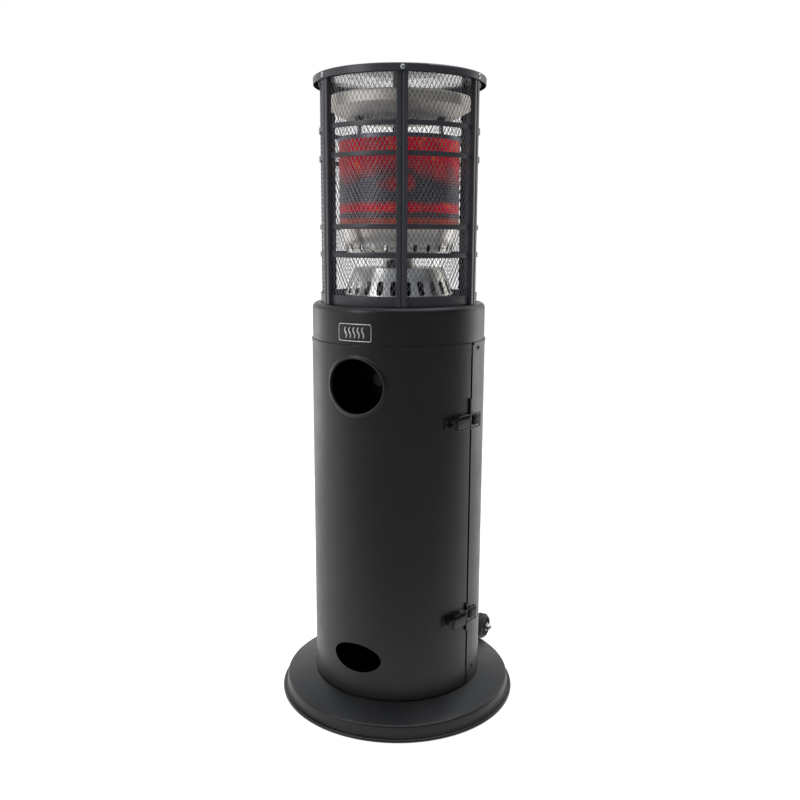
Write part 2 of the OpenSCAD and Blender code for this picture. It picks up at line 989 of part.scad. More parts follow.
// block on the rear shell that the bail pulls against
module latch_catch(z) {
    far = hook.x - wire_r - 0.35;
    wall(barrel_r + 0.15, barrel_r + 1.8, z - 10, z + 10, 83.6, 93.5);
    difference() {
        latch_frame(z)
            translate([0, 0, -9.8])
                linear_extrude(19.6)
                    polygon([[26, -11], [26, hook.y], [30, hook.y + 3], [far, hook.y + 2.6], [far, -11]]);
        cylinder(h = total_h, r = barrel_r + 0.8);
    }
}

module latch_catches() {
    color(black)
        for (z = latch_heights)
            latch_catch(z);
}

// screw with a domed head that points outwards, shank along +Y from the origin
module screw(shank) {
    head_r = 4.4;
    translate([0, 0.1, 0])
        rotate([90, 0, 0])
            cylinder(h = 2.6, r1 = head_r, r2 = 2.4);
    rotate([-90, 0, 0])
        cylinder(h = shank, r = 2);
}

module button_screws() {
    color(zinc) {
        for (angle = upright_angles) {
            // ends just short of the upright's face
            around(angle, lid_r + 0.15, lid_screw_z)
                screw(lid_r - upright_r - 0.15);
            around(angle, upright_r - 26, guard_z0 + guard_sheet + 0.15)
                rotate([-90, 0, 0])
                    screw(8);
        }
        for (place = shell_screws)
            around(place[0], barrel_r + 0.15, place[1])
                screw(6);
        for (place = saddle_screws)
            around(place[0], barrel_r + 3.4, place[1])
                screw(8);
    }
}

// saddle on the rear shell with two arms that carry the axle
module wheel_bracket() {
    arm_x = 66;
    arm_t = 3;
    color(black) {
        difference() {
            wall(barrel_r + 0.15, barrel_r + 3.1, 52, 102, 157, 203);
            wall_holes(saddle_screws, barrel_r);
        }
        difference() {
            for (side = [0, 1])
                mirror([side, 0, 0])
                    translate([arm_x + arm_t, 0, 0])
                        rotate([0, -90, 0])
                            linear_extrude(arm_t)
                                polygon([
                                    [53, 170], [100, 170], [100, 184], [60, wheel_y + 2],
                                    [50, wheel_y + 9], [36, wheel_y + 9], [33, wheel_y],
                                    [33, wheel_y - 8], [53, 196]
                                ]);
            cylinder(h = total_h, r = barrel_r + 1);
            rod_x(wheel_y, wheel_z, axle_r + 0.1, -100, 100);
        }
    }
}

// bar with shoulders inside the arms and reduced ends for the nuts
module wheel_axle() {
    end_x = wheel_x0 + wheel_w + 14;
    color(zinc)
        union() {
            rod_x(wheel_y, wheel_z, axle_r, -end_x, end_x);
            for (side = [0, 1])
                mirror([side, 0, 0])
                    rod_x(wheel_y, wheel_z, axle_r + 3, 69.2, wheel_x0 - 0.5);
        }
}

// cap nuts outside the wheels
module axle_nuts() {
    color(zinc)
        for (side = [0, 1])
            mirror([side, 0, 0])
                difference() {
                    union() {
                        rod_x(wheel_y, wheel_z, 10, wheel_x0 + wheel_w + 0.5, wheel_x0 + wheel_w + 2.5);
                        translate([wheel_x0 + wheel_w + 2.4, wheel_y, wheel_z])
                            rotate([0, 90, 0])
                                cylinder(h = 8, r = 9, $fn = 6);
                    }
                    rod_x(wheel_y, wheel_z, axle_r + 0.02, 0, 200);
                }
}

// moulded wheel with a rounded tread and a recessed face
module wheel(side) {
    round_r = 6;
    color(rubber)
        mirror([side > 0 ? 0 : 1, 0, 0])
            translate([wheel_x0, wheel_y, wheel_z])
                rotate([0, 90, 0])
                    difference() {
                        rotate_extrude()
                            union() {
                                square([wheel_r - round_r, wheel_w]);
                                translate([0, round_r])
                                    square([wheel_r, wheel_w - 2 * round_r]);
                                for (z = [round_r, wheel_w - round_r])
                                    translate([wheel_r - round_r, z])
                                        circle(r = round_r);
                            }
                        translate([0, 0, -1])
                            cylinder(h = wheel_w + 2, r = axle_r + 0.06);
                        translate([0, 0, wheel_w - 4])
                            difference() {
                                cylinder(h = 5, r = wheel_r - 9);
                                cylinder(h = 12, r = 12, center = true);
                            }
                    }
}

// sleeve that slides in the panel and carries the spindle
module spindle_sleeve() {
    color(zinc)
        difference() {
            rod_y(0, control_z, sleeve_r, panel_y - 6, panel_y + 5);
            rod_y(0, control_z, spindle_r + running, panel_y - 10, panel_y + 15);
        }
}

// grip knob and its spindle
module control_knob() {
    color([0.22, 0.22, 0.23])
        difference() {
            union() {
                rod_y(0, control_z, spindle_r, panel_y - 9, panel_y + 19);
                rod_y(0, control_z, knob_r, panel_y - 11, panel_y - 7);
                translate([0, panel_y - 11, control_z])
                    rotate([90, 0, 0])
                        cylinder(h = 18, r1 = knob_r - 1.5, r2 = knob_r - 3.5);
            }
            for (i = [0 : 11])
                rod_y((knob_r - 0.2) * sin(30 * i), control_z + (knob_r - 0.2) * cos(30 * i), 3.7,
                    panel_y - 34, panel_y - 11.6);
        }
}

// push button of the spark unit
module igniter_button() {
    color([0.85, 0.85, 0.86])
        rod_y(button_at.x, button_at.y, button_r, panel_y - 12, panel_y + 11);
}

base_plate();
foot_ring();
rear_shell();
collar();
badge();
burner_housing();
air_shield();
mixing_tube();
burner_bowl();
emitter_screen();
emitter_cap();
reflector_posts();
post_spacers();
top_reflector();
lid();
upright(0);  // upright_1
upright(1);  // upright_2
upright(2);  // upright_3
upright(3);  // upright_4
upright(4);  // upright_5
upright(5);  // upright_6
hoop(0);  // hoop_1
hoop(1);  // hoop_2
hoop(2);  // hoop_3
hoop(3);  // hoop_4
bottom_band();
top_band();
guard_mesh();
control_bracket();
gas_valve();
gas_inlet();
igniter_housing();
gas_tube();
injector();
pilot_burner();
pilot_tube();
thermocouple();
spark_electrode();
ignition_lead();
tilt_switch();
fixed_hinge_leaves();
hinge_pins();
latch_catches();
button_screws();
wheel_bracket();
wheel_axle();
axle_nuts();
door_shell();
control_trim();
door_hinge_leaves();
latch_bases();
lever(latch_heights[1]);  // lever_upper
lever(latch_heights[0]);  // lever_lower
bail(latch_heights[1]);  // bail_upper
bail(latch_heights[0]);  // bail_lower
spindle_sleeve();
control_knob();
igniter_button();
wheel(-1);  // wheel_left
wheel(1);  // wheel_right
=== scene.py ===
import json
import math

import bmesh
import bpy
from mathutils import Matrix, Vector


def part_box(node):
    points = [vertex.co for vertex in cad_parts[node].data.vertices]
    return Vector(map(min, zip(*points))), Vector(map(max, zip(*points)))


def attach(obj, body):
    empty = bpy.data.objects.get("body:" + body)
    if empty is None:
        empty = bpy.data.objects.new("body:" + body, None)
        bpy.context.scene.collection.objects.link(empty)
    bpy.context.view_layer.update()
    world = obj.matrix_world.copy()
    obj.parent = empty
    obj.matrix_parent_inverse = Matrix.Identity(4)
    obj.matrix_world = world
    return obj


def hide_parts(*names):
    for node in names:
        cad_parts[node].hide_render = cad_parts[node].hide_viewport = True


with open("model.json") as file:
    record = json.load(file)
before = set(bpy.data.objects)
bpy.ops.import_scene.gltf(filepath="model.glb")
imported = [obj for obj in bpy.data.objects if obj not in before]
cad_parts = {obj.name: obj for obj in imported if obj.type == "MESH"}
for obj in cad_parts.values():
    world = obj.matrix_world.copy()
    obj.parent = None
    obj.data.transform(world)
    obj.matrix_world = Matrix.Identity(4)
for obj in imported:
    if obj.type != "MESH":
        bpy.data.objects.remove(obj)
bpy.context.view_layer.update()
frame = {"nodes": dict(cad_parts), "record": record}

scene = bpy.context.scene
nodes = frame["nodes"]
MM = 0.001


# ---------------------------------------------------------------- sizes read from the frame
def low(node):
    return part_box(node)[0]


def high(node):
    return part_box(node)[1]


BASE_R = high("base_plate").x
BASE_TOP = high("base_plate").z
BARREL_R = high("rear_shell").y
COLLAR_R = high("collar").x
LID_R = high("lid").x
TOTAL_H = high("lid").z
HOOP_R = -low("hoop_1").y
SCREEN_R = high("emitter_screen").x
SCREEN_Z = (low("emitter_screen").z, high("emitter_screen").z)
MESH_Z = (low("guard_mesh").z, high("guard_mesh").z)
UPRIGHT_Z = (low("upright_1").z, high("upright_1").z)
CONTROL_Z = (low("control_trim").z + high("control_trim").z) / 2
CONTROL_R = (high("control_trim").z - low("control_trim").z) / 2 - 9 * MM
CONTROL_HALF_W = (high("control_trim").x - low("control_trim").x) / 2 - 9 * MM
LATCH_ANGLE = 75.4
LEVER_PIVOT, BAIL_PIVOT, HOOK = (0, 11.5), (-30, 10), (48.6, 3.2)
LATCH_HEIGHTS = {
    "upper": (low("lever_upper").z + high("lever_upper").z) / 2,
    "lower": (low("lever_lower").z + high("lever_lower").z) / 2,
}
UPRIGHT_ANGLES = [30 + 60 * i for i in range(6)]
UPRIGHT_R = 178.4 * MM
GLOW_ANGLE = 28


# ---------------------------------------------------------------- mesh building
class Build:
    """Vertices and faces of one piece, gathered before its mesh is made."""

    def __init__(self):
        self.verts = []
        self.faces = []

    def add(self, verts, faces, place=None):
        start = len(self.verts)
        self.verts += [place @ Vector(v) for v in verts] if place else [Vector(v) for v in verts]
        self.faces += [[start + i for i in face] for face in faces]

    def loops(self, rings, close_path=False, caps=True, place=None):
        """Skins a list of rings that have the same number of points each."""
        size = len(rings[0])
        count = len(rings)
        verts = [v for ring in rings for v in ring]
        faces = []
        for i in range(count if close_path else count - 1):
            a, b = i * size, (i + 1) % count * size
            for j in range(size):
                k = (j + 1) % size
                faces.append((a + j, a + k, b + k, b + j))
        if caps and not close_path:
            faces.append(tuple(range(size))[::-1])
            faces.append(tuple((count - 1) * size + j for j in range(size)))
        self.add(verts, faces, place)

    def turned(self, outline, a0=0, a1=360, steps=180, place=None):
        """Revolves a closed (radius, height) outline; angles run from the front towards +X."""
        whole = a1 - a0 >= 360
        count = steps if whole else max(2, math.ceil(steps * (a1 - a0) / 360)) + 1
        span = (a1 - a0) / (count if whole else count - 1)
        rings = []
        for i in range(count):
            a = math.radians(a0 + span * i)
            rings.append([(r * math.sin(a), -r * math.cos(a), z) for r, z in outline])
        self.loops(rings, close_path=whole, place=place)

    def extruded(self, outline, z0, z1, place=None):
        """Prism over a closed outline in the XY plane."""
        self.loops([[(x, y, z) for x, y in outline] for z in (z0, z1)], place=place)

    def tube(self, points, radius, sides=12, closed=False, place=None):
        """Round bar along a path; radius is one number or one per point."""
        points = [Vector(p) for p in points]
        count = len(points)
        radii = radius if isinstance(radius, (list, tuple)) else [radius] * count
        side = None
        rings = []
        for i, p in enumerate(points):
            before = points[i - 1] if i or closed else p
            after = points[(i + 1) % count] if i + 1 < count or closed else p
            along = (after - before).normalized()
            if side is None:
                side = along.orthogonal().normalized()
            side = (side - along * side.dot(along)).normalized()
            up = along.cross(side)
            turns = [2 * math.pi * j / sides for j in range(sides)]
            rings.append([p + (side * math.cos(t) + up * math.sin(t)) * radii[i] for t in turns])
        self.loops(rings, close_path=closed, place=place)

    def piece(self, name, body, coat, replaces=(), bevel=0, smooth=35, segments=2):
        """Makes the object, with bevelled edges where asked, and lets it ride on its body."""
        bm = bmesh.new()
        made = [bm.verts.new(v) for v in self.verts]
        for face in self.faces:
            corners = [made[i] for i in face]
            if len(set(face)) > 2:
                bm.faces.new(corners)
        bmesh.ops.remove_doubles(bm, verts=bm.verts, dist=1e-6)
        bmesh.ops.dissolve_degenerate(bm, edges=bm.edges, dist=1e-6)
        bmesh.ops.recalc_face_normals(bm, faces=bm.faces)
        if bevel:
            sharp = [e for e in bm.edges if e.is_manifold and e.calc_face_angle() > math.radians(smooth)]
            bmesh.ops.bevel(bm, geom=sharp, offset=bevel, segments=segments, profile=0.5,
                            affect="EDGES", clamp_overlap=True)
        mesh = bpy.data.meshes.new(name)
        bm.to_mesh(mesh)
        bm.free()
        mesh.shade_smooth()
        mesh.set_sharp_from_angle(angle=math.radians(smooth))
        mesh.materials.append(coat)
        made = bpy.data.objects.new(name, mesh)
        scene.collection.objects.link(made)
        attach(made, body)
        if replaces:
            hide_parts(*replaces)
        return made


def rounded(outline, radius, steps=4):
    """Outline with round corners; radius is one number or one per corner."""
    count = len(outline)
    radii = radius if isinstance(radius, (list, tuple)) else [radius] * count
    result = []
    for i, corner in enumerate(outline):
        p = Vector(corner)
        a, b = Vector(outline[i - 1]) - p, Vector(outline[(i + 1) % count]) - p
        if radii[i] <= 0 or a.length < 1e-9 or b.length < 1e-9:
            result.append(tuple(p))
            continue
        half = a.angle(b) / 2
        if half > math.radians(88):
            result.append(tuple(p))
            continue
        reach = min(radii[i] / math.tan(half), 0.48 * a.length, 0.48 * b.length)
        start, end = p + a.normalized() * reach, p + b.normalized() * reach
        for k in range(steps + 1):
            t = k / steps
            result.append(tuple(start * (1 - t) ** 2 + p * 2 * t * (1 - t) + end * t * t))
    return result


def rounded_path(points, radius, steps=5):
    """Open path with round bends."""
    points = [Vector(p) for p in points]
    result = [points[0]]
    for before, p, after in zip(points, points[1:], points[2:]):
        a, b = (before - p), (after - p)
        reach = min(radius, 0.49 * a.length, 0.49 * b.length)
        start, end = p + a.normalized() * reach, p + b.normalized() * reach
        for k in range(steps + 1):
            t = k / steps
            result.append(start * (1 - t) ** 2 + p * 2 * t * (1 - t) + end * t * t)
    return result + [points[-1]]


def rectangle(x0, y0, x1, y1):
    return [(x0, y0), (x1, y0), (x1, y1), (x0, y1)]


def circle(radius, count=24, x=0, y=0):
    turns = [2 * math.pi * i / count for i in range(count)]
    return [(x + radius * math.cos(t), y + radius * math.sin(t)) for t in turns]


def on_wall(angle, radius, z):
    """Frame on the wall: X along it, Y outwards, Z up."""
    a = math.radians(angle)
    along, out = Vector((math.cos(a), math.sin(a), 0)), Vector((math.sin(a), -math.cos(a), 0))
    place = Matrix((along, out, Vector((0, 0, 1)))).transposed().to_4x4()
    place.translation = out * radius + Vector((0, 0, z))
    return place


def facing(place):
    """Frame whose Z points outwards, from a frame on the wall."""
    return place @ Matrix(((1, 0, 0, 0), (0, 0, 1, 0), (0, -1, 0, 0), (0, 0, 0, 1)))


def polar(azimuth, distance, height):
    a = math.radians(azimuth)
    return (distance * math.sin(a), -distance * math.cos(a), height)


# ---------------------------------------------------------------- materials
class Coat:
    """A material and short ways to add nodes to it."""

    def __init__(self, name):
        self.material = bpy.data.materials.new(name)
        self.material.use_nodes = True
        self.tree = self.material.node_tree
        self.shader = self.tree.nodes["Principled BSDF"]
        self.place = self.node("ShaderNodeTexCoord").outputs["Object"]

    def node(self, kind, **settings):
        made = self.tree.nodes.new(kind)
        for key, value in settings.items():
            setattr(made, key, value)
        return made

    def link(self, source, target):
        self.tree.links.new(source, target)

    def stretched(self, scale):
        mapping = self.node("ShaderNodeMapping")
        self.link(self.place, mapping.inputs["Vector"])
        mapping.inputs["Scale"].default_value = scale
        return mapping.outputs["Vector"]

    def noise(self, scale, detail=2.0, rough=0.5, stretch=(1, 1, 1)):
        made = self.node("ShaderNodeTexNoise")
        self.link(self.stretched(stretch), made.inputs["Vector"])
        made.inputs["Scale"].default_value = scale
        made.inputs["Detail"].default_value = detail
        made.inputs["Roughness"].default_value = rough
        return made.outputs["Fac"]

    def ramp(self, factor, stops):
        made = self.node("ShaderNodeValToRGB")
        self.link(factor, made.inputs["Fac"])
        band = made.color_ramp
        while len(band.elements) < len(stops):
            band.elements.new(0.5)
        for element, (at, colour) in zip(band.elements, stops):
            element.position = at
            element.color = (*colour, 1) if isinstance(colour, tuple) else (colour, colour, colour, 1)
        return made.outputs["Color"]

    def mix(self, factor, a, b, blend="MIX"):
        made = self.node("ShaderNodeMix", data_type="RGBA", blend_type=blend)
        for socket, value in (("Factor", factor), ("A", a), ("B", b)):
            target = [s for s in made.inputs if s.name == socket and s.enabled][0]
            if isinstance(value, bpy.types.NodeSocket):
                self.link(value, target)
            elif socket == "Factor":
                target.default_value = value
            else:
                target.default_value = (*value, 1)
        return [s for s in made.outputs if s.enabled][0]

    def math(self, operation, a, b=0.0):
        made = self.node("ShaderNodeMath", operation=operation)
        for i, value in enumerate((a, b)):
            if isinstance(value, bpy.types.NodeSocket):
                self.link(value, made.inputs[i])
            else:
                made.inputs[i].default_value = value
        return made.outputs["Value"]

    def height(self):
        split = self.node("ShaderNodeSeparateXYZ")
        self.link(self.place, split.inputs["Vector"])
        return split.outputs["Z"]

    def share(self, value, low_value, high_value):
        made = self.node("ShaderNodeMapRange")
        self.link(value, made.inputs["Value"])
        made.inputs["From Min"].default_value = low_value
        made.inputs["From Max"].default_value = high_value
        return made.outputs["Result"]

    def bump(self, height, strength, distance):
        made = self.node("ShaderNodeBump")
        self.link(height, made.inputs["Height"])
        made.inputs["Strength"].default_value = strength
        made.inputs["Distance"].default_value = distance
        self.link(made.outputs["Normal"], self.shader.inputs["Normal"])

    def set(self, **values):
        for key, value in values.items():
            socket = self.shader.inputs[key.replace("_", " ")]
            if isinstance(value, bpy.types.NodeSocket):
                self.link(value, socket)
            else:
                socket.default_value = value
        return self.material


def powder_coat(name, colour, light, rough):
    """Satin coat: fine orange peel, faint clouding and a few pale dust specks."""
    c = Coat(name)
    cloud = c.noise(7, 3)
    peel = c.noise(900, 1)
    dust = c.ramp(c.noise(420, 0), [(0.0, 0.0), (0.77, 0.0), (0.82, 1.0)])
    base = c.mix(c.ramp(cloud, [(0.35, 0.0), (0.65, 1.0)]), colour, light)
    speckled = c.mix(c.math("MULTIPLY", dust, 0.10), base, (0.30, 0.30, 0.30))
    c.bump(peel, 0.10, 0.0004)
    spread = c.ramp(c.noise(16, 4), [(0.3, rough - 0.04), (0.7, rough + 0.05)])
    return c.set(Base_Color=speckled, Roughness=spread, Metallic=0.0, Specular_IOR_Level=0.5)


def brushed_steel(name, colour, tint, rough, lines=1400):
    """Spun or rolled steel: fine lines round the axis and a straw to brown heat tint."""
    c = Coat(name)
    line = c.noise(1, 3, 0.65, (6, 6, lines))
    warm = c.ramp(c.noise(9, 3), [(0.30, 0.0), (0.72, 1.0)])
    base = c.mix(warm, colour, tint)
    streaked = c.mix(c.ramp(line, [(0.3, 0.0), (0.7, 0.35)]), base, tuple(0.72 * v for v in colour))
    c.bump(line, 0.12, 0.0003)
    spread = c.ramp(c.noise(30, 3), [(0.3, rough - 0.06), (0.7, rough + 0.10)])
    return c.set(Base_Color=streaked, Roughness=spread, Metallic=1.0)


def hot_screen(name):
    """Perforated steel that glows in bands: deep red with orange flecks, dark in the middle."""
    c = Coat(name)
    span = c.share(c.height(), *SCREEN_Z)
    aside = c.node("ShaderNodeVectorMath", operation="DOT_PRODUCT")
    c.link(c.place, aside.inputs[0])
    aside.inputs[1].default_value = [v / SCREEN_R for v in polar(GLOW_ANGLE + 90, 1, 0)]
    centred = c.math("SUBTRACT", 1.0, c.math("ABSOLUTE", aside.outputs["Value"]))
    wander = c.math("MULTIPLY", c.math("SUBTRACT", c.noise(34, 3), 0.5), 0.22)
    upper_level = c.math("SUBTRACT", c.math("ADD", span, wander), c.math("MULTIPLY", centred, 0.13))
    upper = c.ramp(upper_level, [(0.0, 0.0), (0.42, 0.0), (0.55, 0.55), (0.66, 1.0), (1.0, 1.0)])
    head = c.ramp(span, [(0.0, 1.0), (0.955, 1.0), (0.975, 0.0)])
    low_level = c.math("ADD", span, c.math("MULTIPLY", wander, 0.18))
    lower = c.ramp(low_level, [(0.0, 0.0), (0.015, 0.40), (0.06, 0.45), (0.09, 0.02), (0.13, 0.05),
                               (0.16, 1.0), (0.21, 1.0), (0.27, 0.0)])
    near = c.node("ShaderNodeVectorMath", operation="DISTANCE")
    c.link(c.stretched((1, 1, 2.2)), near.inputs[0])
    spot_z = SCREEN_Z[0] + 0.46 * (SCREEN_Z[1] - SCREEN_Z[0])
    x, y, z = polar(GLOW_ANGLE - 1, SCREEN_R, spot_z * 2.2)
    near.inputs[1].default_value = (x, y, z)
    away = c.math("MULTIPLY", near.outputs["Value"], 10)
    spot = c.ramp(c.math("ADD", away, c.math("MULTIPLY", wander, 2.5)),
                  [(0.0, 0.8), (0.16, 0.7), (0.42, 0.0)])
    glow = c.math("MAXIMUM", c.math("MAXIMUM", c.math("MULTIPLY", upper, head), lower), spot)
    fleck = c.ramp(c.noise(75, 2, 0.6), [(0.53, 0.0), (0.74, 0.7)])
    amber = c.math("MAXIMUM", fleck, c.ramp(span, [(0.0, 0.7), (0.07, 0.7), (0.10, 0.0)]))
    hot = c.mix(amber, (0.60, 0.005, 0.026), (1.0, 0.16, 0.02))
    patch = c.ramp(c.noise(13, 2), [(0.34, 0.45), (0.60, 1.0)])
    strength = c.math("MULTIPLY", c.math("MULTIPLY", glow, patch), 0.66)
    base = c.mix(glow, (0.15, 0.14, 0.16), (0.07, 0.015, 0.015))
    c.bump(c.noise(300, 2), 0.2, 0.0003)
    return c.set(Base_Color=base, Roughness=c.ramp(fleck, [(0.0, 0.42), (1.0, 0.55)]), Metallic=0.6,
                 Emission_Color=hot, Emission_Strength=strength)


def bowl_with_painted_glow(name):
    """Stainless bowl whose inner face is painted near-black as shade and whose upper edge carries a painted
    reflection: orange emission for the glow of the screen above it.
    """
    c = Coat(name)
    top = high("burner_bowl").z
    line = c.noise(1, 3, 0.65, (6, 6, 1400))
    # painted reflection: orange emission along the upper edge stands for the screen's glow mirrored in the
    # bowl
    lit = c.ramp(c.share(c.height(), top - 13 * MM, top),
                 [(0.0, 0.0), (0.35, 0.15), (0.62, 1.0), (1.0, 0.3)])
    patch = c.ramp(c.noise(38, 3), [(0.34, 0.25), (0.62, 1.0)])
    c.bump(line, 0.10, 0.0003)
    spread = c.ramp(c.noise(30, 3), [(0.3, 0.24), (0.7, 0.40)])
    steel = c.mix(c.ramp(c.noise(9, 3), [(0.30, 0.0), (0.72, 1.0)]), (0.72, 0.71, 0.69), (0.60, 0.55, 0.50))
    outwards = c.node("ShaderNodeVectorMath", operation="DOT_PRODUCT")
    c.link(c.node("ShaderNodeNewGeometry").outputs["Normal"], outwards.inputs[0])
    c.link(c.stretched((1, 1, 0)), outwards.inputs[1])
    outer_face = c.share(outwards.outputs["Value"], -8 * MM, -2 * MM)
    # painted shade: the inner face is made near-black so the slots into the bowl look dark
    base = c.mix(outer_face, (0.012, 0.009, 0.008), steel)
    return c.set(Base_Color=base, Roughness=spread, Metallic=1.0, Emission_Color=(1.0, 0.24, 0.03, 1),
                 Emission_Strength=c.math("MULTIPLY", c.math("MULTIPLY", lit, patch), 0.55))


def plated(name, colour, dark, rough):
    """Zinc, brass or copper: bright metal with mild blotches and fine scratches."""
    c = Coat(name)
    blotch = c.ramp(c.noise(60, 4, 0.6), [(0.35, 0.0), (0.70, 1.0)])
    scratch = c.noise(1, 2, 0.6, (120, 900, 2600))
    c.bump(scratch, 0.10, 0.0002)
    spread = c.ramp(c.noise(140, 3), [(0.3, rough - 0.07), (0.7, rough + 0.10)])
    return c.set(Base_Color=c.mix(blotch, colour, dark), Roughness=spread, Metallic=1.0)


def moulded(name, colour, light, rough, grain=1500):
    """Plastic, rubber or glaze with a fine grain."""
    c = Coat(name)
    cloud = c.ramp(c.noise(35, 3), [(0.35, 0.0), (0.70, 1.0)])
    c.bump(c.noise(grain, 2), 0.16, 0.0003)
    spread = c.ramp(c.noise(90, 3), [(0.3, rough - 0.05), (0.7, rough + 0.07)])
    return c.set(Base_Color=c.mix(cloud, colour, light), Roughness=spread, Metallic=0.0)


coats = {
    "black_coat": powder_coat("satin_black_coat", (0.0028, 0.0029, 0.0034), (0.0042, 0.0043, 0.0049), 0.37),
    "guard_coat": powder_coat("dark_grey_coat", (0.040, 0.042, 0.050), (0.050, 0.052, 0.061), 0.38),
    "stainless": brushed_steel("stainless_steel", (0.80, 0.79, 0.77), (0.70, 0.66, 0.61), 0.29),
    "hot_screen": hot_screen("glowing_screen"),
    "zinc_plate": plated("zinc_plate", (0.60, 0.61, 0.63), (0.46, 0.47, 0.49), 0.30),
    "brass": plated("turned_brass", (0.74, 0.55, 0.25), (0.58, 0.40, 0.17), 0.28),
    "copper": plated("drawn_copper", (0.70, 0.36, 0.22), (0.48, 0.22, 0.13), 0.33),
    "badge_plate": plated("badge_silver", (0.86, 0.86, 0.88), (0.74, 0.74, 0.77), 0.34),
    "black_plastic": moulded("black_plastic", (0.014, 0.014, 0.015), (0.020, 0.020, 0.021), 0.45),
    "button_plastic": moulded("button_chrome", (0.62, 0.62, 0.64), (0.52, 0.52, 0.54), 0.22),
    "ceramic": moulded("glazed_ceramic", (0.045, 0.034, 0.030), (0.075, 0.050, 0.040), 0.30, 600),
    "lead_sheath": moulded("silicone_sheath", (0.55, 0.52, 0.47), (0.46, 0.43, 0.39), 0.55),
    "tyre_rubber": moulded("black_tread", (0.017, 0.017, 0.018), (0.024, 0.024, 0.025), 0.55, 700),
}
badge_ground = powder_coat("badge_ground", (0.012, 0.012, 0.013), (0.018, 0.018, 0.019), 0.30)
dark_cap = brushed_steel("heat_blued_steel", (0.20, 0.22, 0.27), (0.13, 0.13, 0.15), 0.36)
warm_dish = brushed_steel("heat_toned_steel", (0.90, 0.87, 0.82), (0.80, 0.74, 0.66), 0.55)
bowl_steel = bowl_with_painted_glow("bowl_steel")
# lighter copy of the guard coat for the mesh strands: a painted highlight for the light the strands catch
lit_guard_mesh_coat = powder_coat("guard_grey_painted_lit", (0.13, 0.13, 0.15), (0.17, 0.17, 0.19), 0.32)
lid_lining = brushed_steel("bright_lining", (0.96, 0.96, 0.97), (0.92, 0.92, 0.94), 0.22)
# near-black coat for the sheet inside the screen: painted shade behind the holes
painted_shade_black = powder_coat("painted_shade_core", (0.012, 0.008, 0.008), (0.020, 0.012, 0.011), 0.70)

for row in frame["record"]["subparts"]:
    for holder in nodes[row["node"]].material_slots:
        holder.material = coats[row["material_slot"]]
for node, coat in (("emitter_cap", dark_cap), ("top_reflector", warm_dish), ("burner_bowl", bowl_steel)):
    for holder in nodes[node].material_slots:
        holder.material = coat


# ---------------------------------------------------------------- base
def base_plate():
    """Pressed foot: well, seat, shallow cone, round ridge, flared skirt and rolled rim."""
    t = 2 * MM
    well = 164 * MM
    seat = BASE_TOP
    ridge_r, ridge_z = 259.5 * MM, BASE_TOP - 18 * MM
    bead = 4 * MM
    foot = BASE_R - 9 * MM
    outline = [
        (0, 0), (well, 0), (well + 8 * MM, seat - t), (BARREL_R + 2 * MM, seat - t),
        (ridge_r - 3 * MM, ridge_z - t), (foot - t, 9 * MM - t), (BASE_R - bead, 9 * MM - t - 0.5 * MM),
        (BASE_R - bead, 9 * MM), (foot, 9 * MM), (ridge_r, ridge_z),
        (BARREL_R + 3 * MM, seat), (well + 6 * MM, seat), (well - 2 * MM, t), (0, t),
    ]
    bends = [0, 3, 3, 3, 3, 2, 0, 0, 2.5, 6, 5, 4, 4, 0]
    b = Build()
    b.turned(rounded(outline, [v * MM for v in bends], 6), steps=240)
    b.turned(circle(bead, 20, BASE_R - bead, bead), steps=240)
    b.piece("base_plate_pressed", "root", coats["black_coat"], ["base_plate"], smooth=40)


# ---------------------------------------------------------------- guard
def upright(index):
    """Folded channel with a groove down its face, a foot on the deck and a tab under the lid."""
    radius, t, half, depth = UPRIGHT_R, 1.6 * MM, 11 * MM, 10 * MM
    groove = 2.5 * MM
    outer = [(-half, 0), (-groove, 0), (0, groove), (groove, 0), (half, 0), (half, depth)]
    inner = [(half - t, depth), (half - t, t), (groove + 0.6 * MM, t), (0, groove + t),
             (-groove - 0.6 * MM, t), (-half + t, t), (-half + t, depth), (-half, depth)]
    bends = [1.3, 0.8, 0.8, 0.8, 1.3, 0.3, 0.3, 0.4, 0.4, 0.4, 0.4, 0.4, 0.3, 0.3]
    # the wall frame's Y points outwards, so depth is counted inwards from the face
    outline = [(x, -y) for x, y in rounded(outer + inner, [v * MM for v in bends], 3)]
    place = on_wall(UPRIGHT_ANGLES[index], radius, 0)
    b = Build()
    b.extruded(outline, *UPRIGHT_Z, place=place)
    foot = rounded(rectangle(-8 * MM, -33 * MM, 8 * MM, -3 * MM), [5 * MM, 5 * MM, 0, 0])
    b.extruded(foot, UPRIGHT_Z[0], UPRIGHT_Z[0] + t, place)
    tab_y = LID_R - 1.6 * MM - radius
    tab = rounded(rectangle(-8 * MM, -4 * MM, 8 * MM, tab_y), [0, 0, 1 * MM, 1 * MM])
    b.extruded(tab, UPRIGHT_Z[1] - t, UPRIGHT_Z[1], place)
    ear = [(x, tab_y - y) for x, y in rectangle(-8 * MM, 0, 8 * MM, t)]
    b.extruded(ear, TOTAL_H - 13 * MM, UPRIGHT_Z[1], place)
    name = f"upright_{index + 1}"
    b.piece(name + "_folded", "root", coats["guard_coat"], [name], smooth=30)


